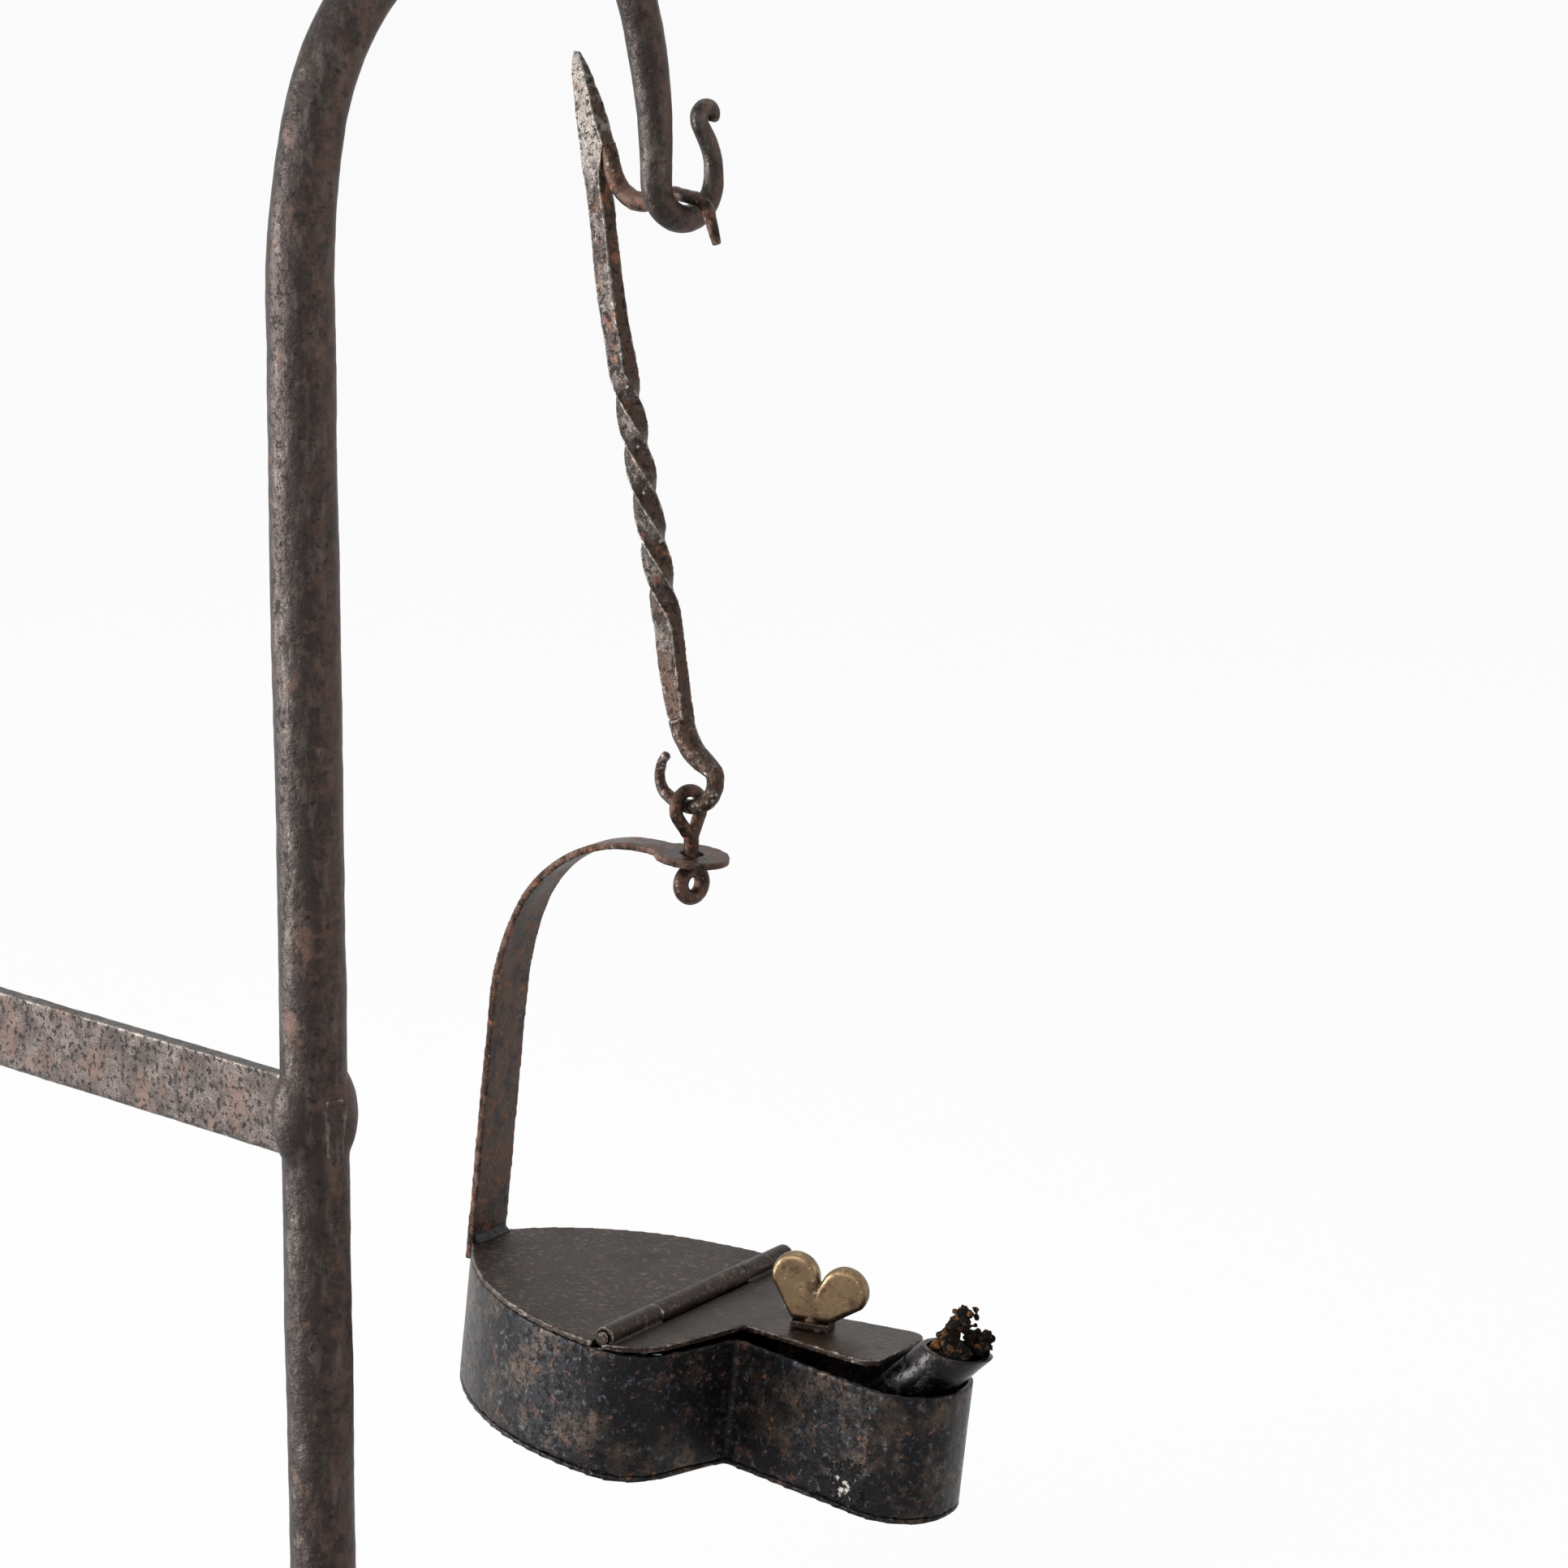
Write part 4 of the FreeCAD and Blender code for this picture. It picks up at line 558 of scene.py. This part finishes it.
class LAMPSTAND_OT_hanger(bpy.types.Operator):
    """Make the spiked and twisted hanger and its welded hook arm"""
    bl_idname = "lamp_stand.hanger"
    bl_label = "Hanger"

    def execute(self, context):
        skin = settings("skin").hanger_facet
        for node, material in (("hanger_shaft", "hanger"), ("hanger_hook", "rusted")):
            forged_piece(node, MATERIALS[material], "hanger", "rough_iron", skin,
                         [(7, 0.35, 2), (1.4, 0.3, 3)])
        return {"FINISHED"}


class LAMPSTAND_OT_swivel(bpy.types.Operator):
    """Make the swivel link"""
    bl_idname = "lamp_stand.swivel"
    bl_label = "Swivel Link"

    def execute(self, context):
        forged_piece("swivel_link", MATERIALS["rusted"], "swivel", "rusty_iron",
                     settings("skin").link_facet, [(3, 0.16, 2), (0.8, 0.1, 2)])
        return {"FINISHED"}


class LAMPSTAND_OT_strap(bpy.types.Operator):
    """Make the lamp's handle strap with its disc"""
    bl_idname = "lamp_stand.strap"
    bl_label = "Handle Strap"

    def execute(self, context):
        forged_piece("handle_strap", MATERIALS["rusted"], "lamp", "rusty_iron",
                     settings("skin").hanger_facet * 1.3, [(16, 0.4, 1), (2.5, 0.1, 2)])
        forged_piece("braze_bead", MATERIALS["holder"], "lamp", "brass",
                     settings("skin").link_facet, [(1.5, 0.2, 2)])
        return {"FINISHED"}


class LAMPSTAND_OT_reservoir(bpy.types.Operator):
    """Make the lamp's wall, floor, fixed top, hinge pin and wick holder"""
    bl_idname = "lamp_stand.reservoir"
    bl_label = "Reservoir"

    def execute(self, context):
        skin = settings("skin")
        for node, material, slot, size, dents in (
                ("lamp_wall", "wall", "black_sheet", skin.sheet_facet, [(20, 0.3, 1), (4, 0.05, 2)]),
                ("lamp_floor", "wall", "black_sheet", skin.sheet_facet, [(20, 0.3, 1)]),
                ("top_plate", "top", "brown_sheet", skin.fine_facet * 1.3, [(18, 0.25, 1), (1.2, 0.05, 2)]),
                ("wick_holder", "holder", "black_sheet", skin.fine_facet, [(6, 0.2, 2)]),
                ("hinge_pin", "lid", "black_sheet", skin.fine_facet, [(3, 0.1, 2)])):
            forged_piece(node, MATERIALS[material], "lamp", slot, size, dents)
        return {"FINISHED"}


class LAMPSTAND_OT_lid(bpy.types.Operator):
    """Make the lid with its barrel, and the thumb piece on its seat"""
    bl_idname = "lamp_stand.lid"
    bl_label = "Lid and Thumb Piece"

    def execute(self, context):
        skin = settings("skin")
        forged_piece("lid_flap", MATERIALS["lid"], "lid", "black_sheet", skin.fine_facet,
                     [(16, 0.2, 1), (2, 0.05, 2)])
        forged_piece("thumb_base", MATERIALS["lid"], "lid", "black_sheet", skin.link_facet,
                     [(3, 0.25, 2)], smoothing=6)
        forged_piece("thumb_wing", MATERIALS["brass"], "lid", "brass", skin.link_facet,
                     [(4, 0.15, 2)])
        return {"FINISHED"}


class LAMPSTAND_OT_wick(bpy.types.Operator):
    """Make the wick's three strands with their charred tufts"""
    bl_idname = "lamp_stand.wick"
    bl_label = "Wick"

    def execute(self, context):
        chance = random.Random(7)
        for number in (1, 2, 3):
            node = f"wick_strand_{number}"
            strand = copy_of(node, f"{node}_fibre")
            add_tuft(strand, chance)
            forge(strand, settings("skin").link_facet * 1.2, [(1.6, 0.9, 2), (0.6, 0.6, 3)], 1)
            finish_piece(strand, MATERIALS["wick"], "lamp", "wick", node)
        return {"FINISHED"}


def add_tuft(strand, chance):
    """Spread the tip of a strand into clumps of burnt fibre."""
    mouth, outward = holder_mouth()
    tip = max((v.co.copy() for v in strand.data.vertices), key=lambda v: (v - mouth).dot(outward))
    made = []
    for _ in range(settings("wick").clump_count):
        spread = Vector([chance.uniform(-TUFT_SPREAD_MM, TUFT_SPREAD_MM) for _ in range(3)]) * MM
        place = tip - outward * chance.uniform(*TUFT_DEPTH_MM) * MM + spread
        radius = chance.uniform(*CLUMP_RADIUS_MM) * MM
        bpy.ops.mesh.primitive_ico_sphere_add(subdivisions=2, radius=radius, location=place)
        made.append(bpy.context.object)
    only(strand, *made)
    bpy.ops.object.join()


# Stage.

class LAMPSTAND_OT_stage(bpy.types.Operator):
    """Make the floor, the soft lights and the camera"""
    bl_idname = "lamp_stand.stage"
    bl_label = "Stage"

    def execute(self, context):
        stage = settings("stage")
        make_camera()
        make_floor()
        middle = Vector(LIGHT_AIM)
        for name, power, size, place in (
                ("key", stage.key_power, 1.0, Vector((-1.3, -0.25, 0.75))),
                ("rim", stage.rim_power, 0.4, Vector((-0.95, 0.75, 0.21))),
                ("fill", stage.fill_power, 0.8, Vector((0.75, -1.25, 0.5))),
                ("top", stage.fill_power, 0.9, Vector((0.1, 0.3, 1.4)))):
            bpy.ops.object.light_add(type="AREA", location=place)
            light = bpy.context.object
            light.name = f"{name}_light"
            light.data.energy = power
            light.data.shape = "SQUARE"
            light.data.size = size
            light.rotation_euler = (middle - place).to_track_quat("-Z", "Y").to_euler()
        make_world(stage.world_level)
        context.scene.view_settings.view_transform = "Standard"
        return {"FINISHED"}


def make_camera():
    """Camera at the photograph's place, height and focal length."""
    low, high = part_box("foot_collar")
    foot = Vector(((low[0] + high[0]) / 2, (low[1] + high[1]) / 2, 0))
    place = foot + Vector(CAMERA_MM) * MM
    view = Vector(CAMERA_VIEW)
    bpy.ops.object.camera_add(location=place, rotation=view.to_track_quat("-Z", "Y").to_euler())
    camera = bpy.context.object
    camera.data.sensor_width = SENSOR_MM
    camera.data.lens = SENSOR_MM * FOCAL_PIXELS / PHOTO_PIXELS
    camera.data.clip_start = CLIP_NEAR
    camera.data.clip_end = CLIP_FAR
    bpy.context.scene.camera = camera


def make_floor():
    """Plain pale floor under the feet."""
    bpy.ops.mesh.primitive_plane_add(size=FLOOR_SIZE, location=(0, 0, 0))
    floor = bpy.context.object
    floor.name = "floor"
    material, tree = new_material("pale_floor")
    seen = white_rays(tree)
    matt = add_node(tree, "ShaderNodeBsdfDiffuse", {"Color": tone("stage.floor_tone")})
    glow = add_node(tree, "ShaderNodeEmission", {"Color": (1, 1, 1, 1), "Strength": 1})
    share = add_node(tree, "ShaderNodeMapRange", {"Value": seen, "To Max": FLOOR_GLOW})
    surface = add_node(tree, "ShaderNodeMixShader", {0: share, 1: matt, 2: glow})
    add_node(tree, "ShaderNodeOutputMaterial", {"Surface": surface})
    floor.data.materials.append(material)


def white_rays(tree):
    """One for the rays that show the white background: to the camera, mirrored or let through."""
    seen = add_node(tree, "ShaderNodeLightPath", out="Is Camera Ray")
    for kind in ("Is Glossy Ray", "Is Transmission Ray"):
        seen = add_node(tree, "ShaderNodeMath", {0: seen, 1: add_node(tree, "ShaderNodeLightPath", out=kind)},
                        operation="MAXIMUM")
    return seen


def make_world(level):
    """White room: white where it is seen, and softer as light."""
    world = bpy.data.worlds.new("white_room")
    bpy.context.scene.world = world
    world.use_nodes = True
    tree = world.node_tree
    tree.nodes.clear()
    strength = add_node(tree, "ShaderNodeMapRange", {"Value": white_rays(tree), "To Min": level})
    back = add_node(tree, "ShaderNodeBackground", {"Color": (1, 1, 1, 1), "Strength": strength})
    add_node(tree, "ShaderNodeOutputWorld", {"Surface": back})


class LAMPSTAND_PT_panel(bpy.types.Panel):
    """Lists the pieces of the stand and their settings"""
    bl_label = "Lamp Stand"
    bl_idname = "LAMPSTAND_PT_panel"
    bl_space_type = "VIEW_3D"
    bl_region_type = "UI"
    bl_category = "Lamp Stand"

    def draw(self, context):
        for operator in OPERATORS:
            self.layout.operator(operator.bl_idname)
        for group in GROUPS:
            box = self.layout.box()
            for name in settings(group).bl_rna.properties.keys():
                if name not in ("rna_type", "name"):
                    box.prop(settings(group), name)


OPERATORS = (LAMPSTAND_OT_stage, LAMPSTAND_OT_upright, LAMPSTAND_OT_base, LAMPSTAND_OT_hanger,
             LAMPSTAND_OT_swivel, LAMPSTAND_OT_strap, LAMPSTAND_OT_reservoir, LAMPSTAND_OT_lid,
             LAMPSTAND_OT_wick)
CLASSES = (*GROUPS.values(), *OPERATORS, LAMPSTAND_PT_panel)


def register():
    """Add the classes and the scene's settings."""
    for each in CLASSES:
        bpy.utils.register_class(each)
    for name, group in GROUPS.items():
        setattr(bpy.types.Scene, f"lamp_stand_{name}", bpy.props.PointerProperty(type=group))


def unregister():
    """Take the settings and the classes away again."""
    for name in GROUPS:
        delattr(bpy.types.Scene, f"lamp_stand_{name}")
    for each in reversed(CLASSES):
        bpy.utils.unregister_class(each)


def main():
    """Register the add-on, make the materials and build every piece."""
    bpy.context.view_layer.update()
    register()
    make_materials()
    for operator in OPERATORS:
        group, name = operator.bl_idname.split(".")
        getattr(getattr(bpy.ops, group), name)()


if __name__ == "__main__":
    main()
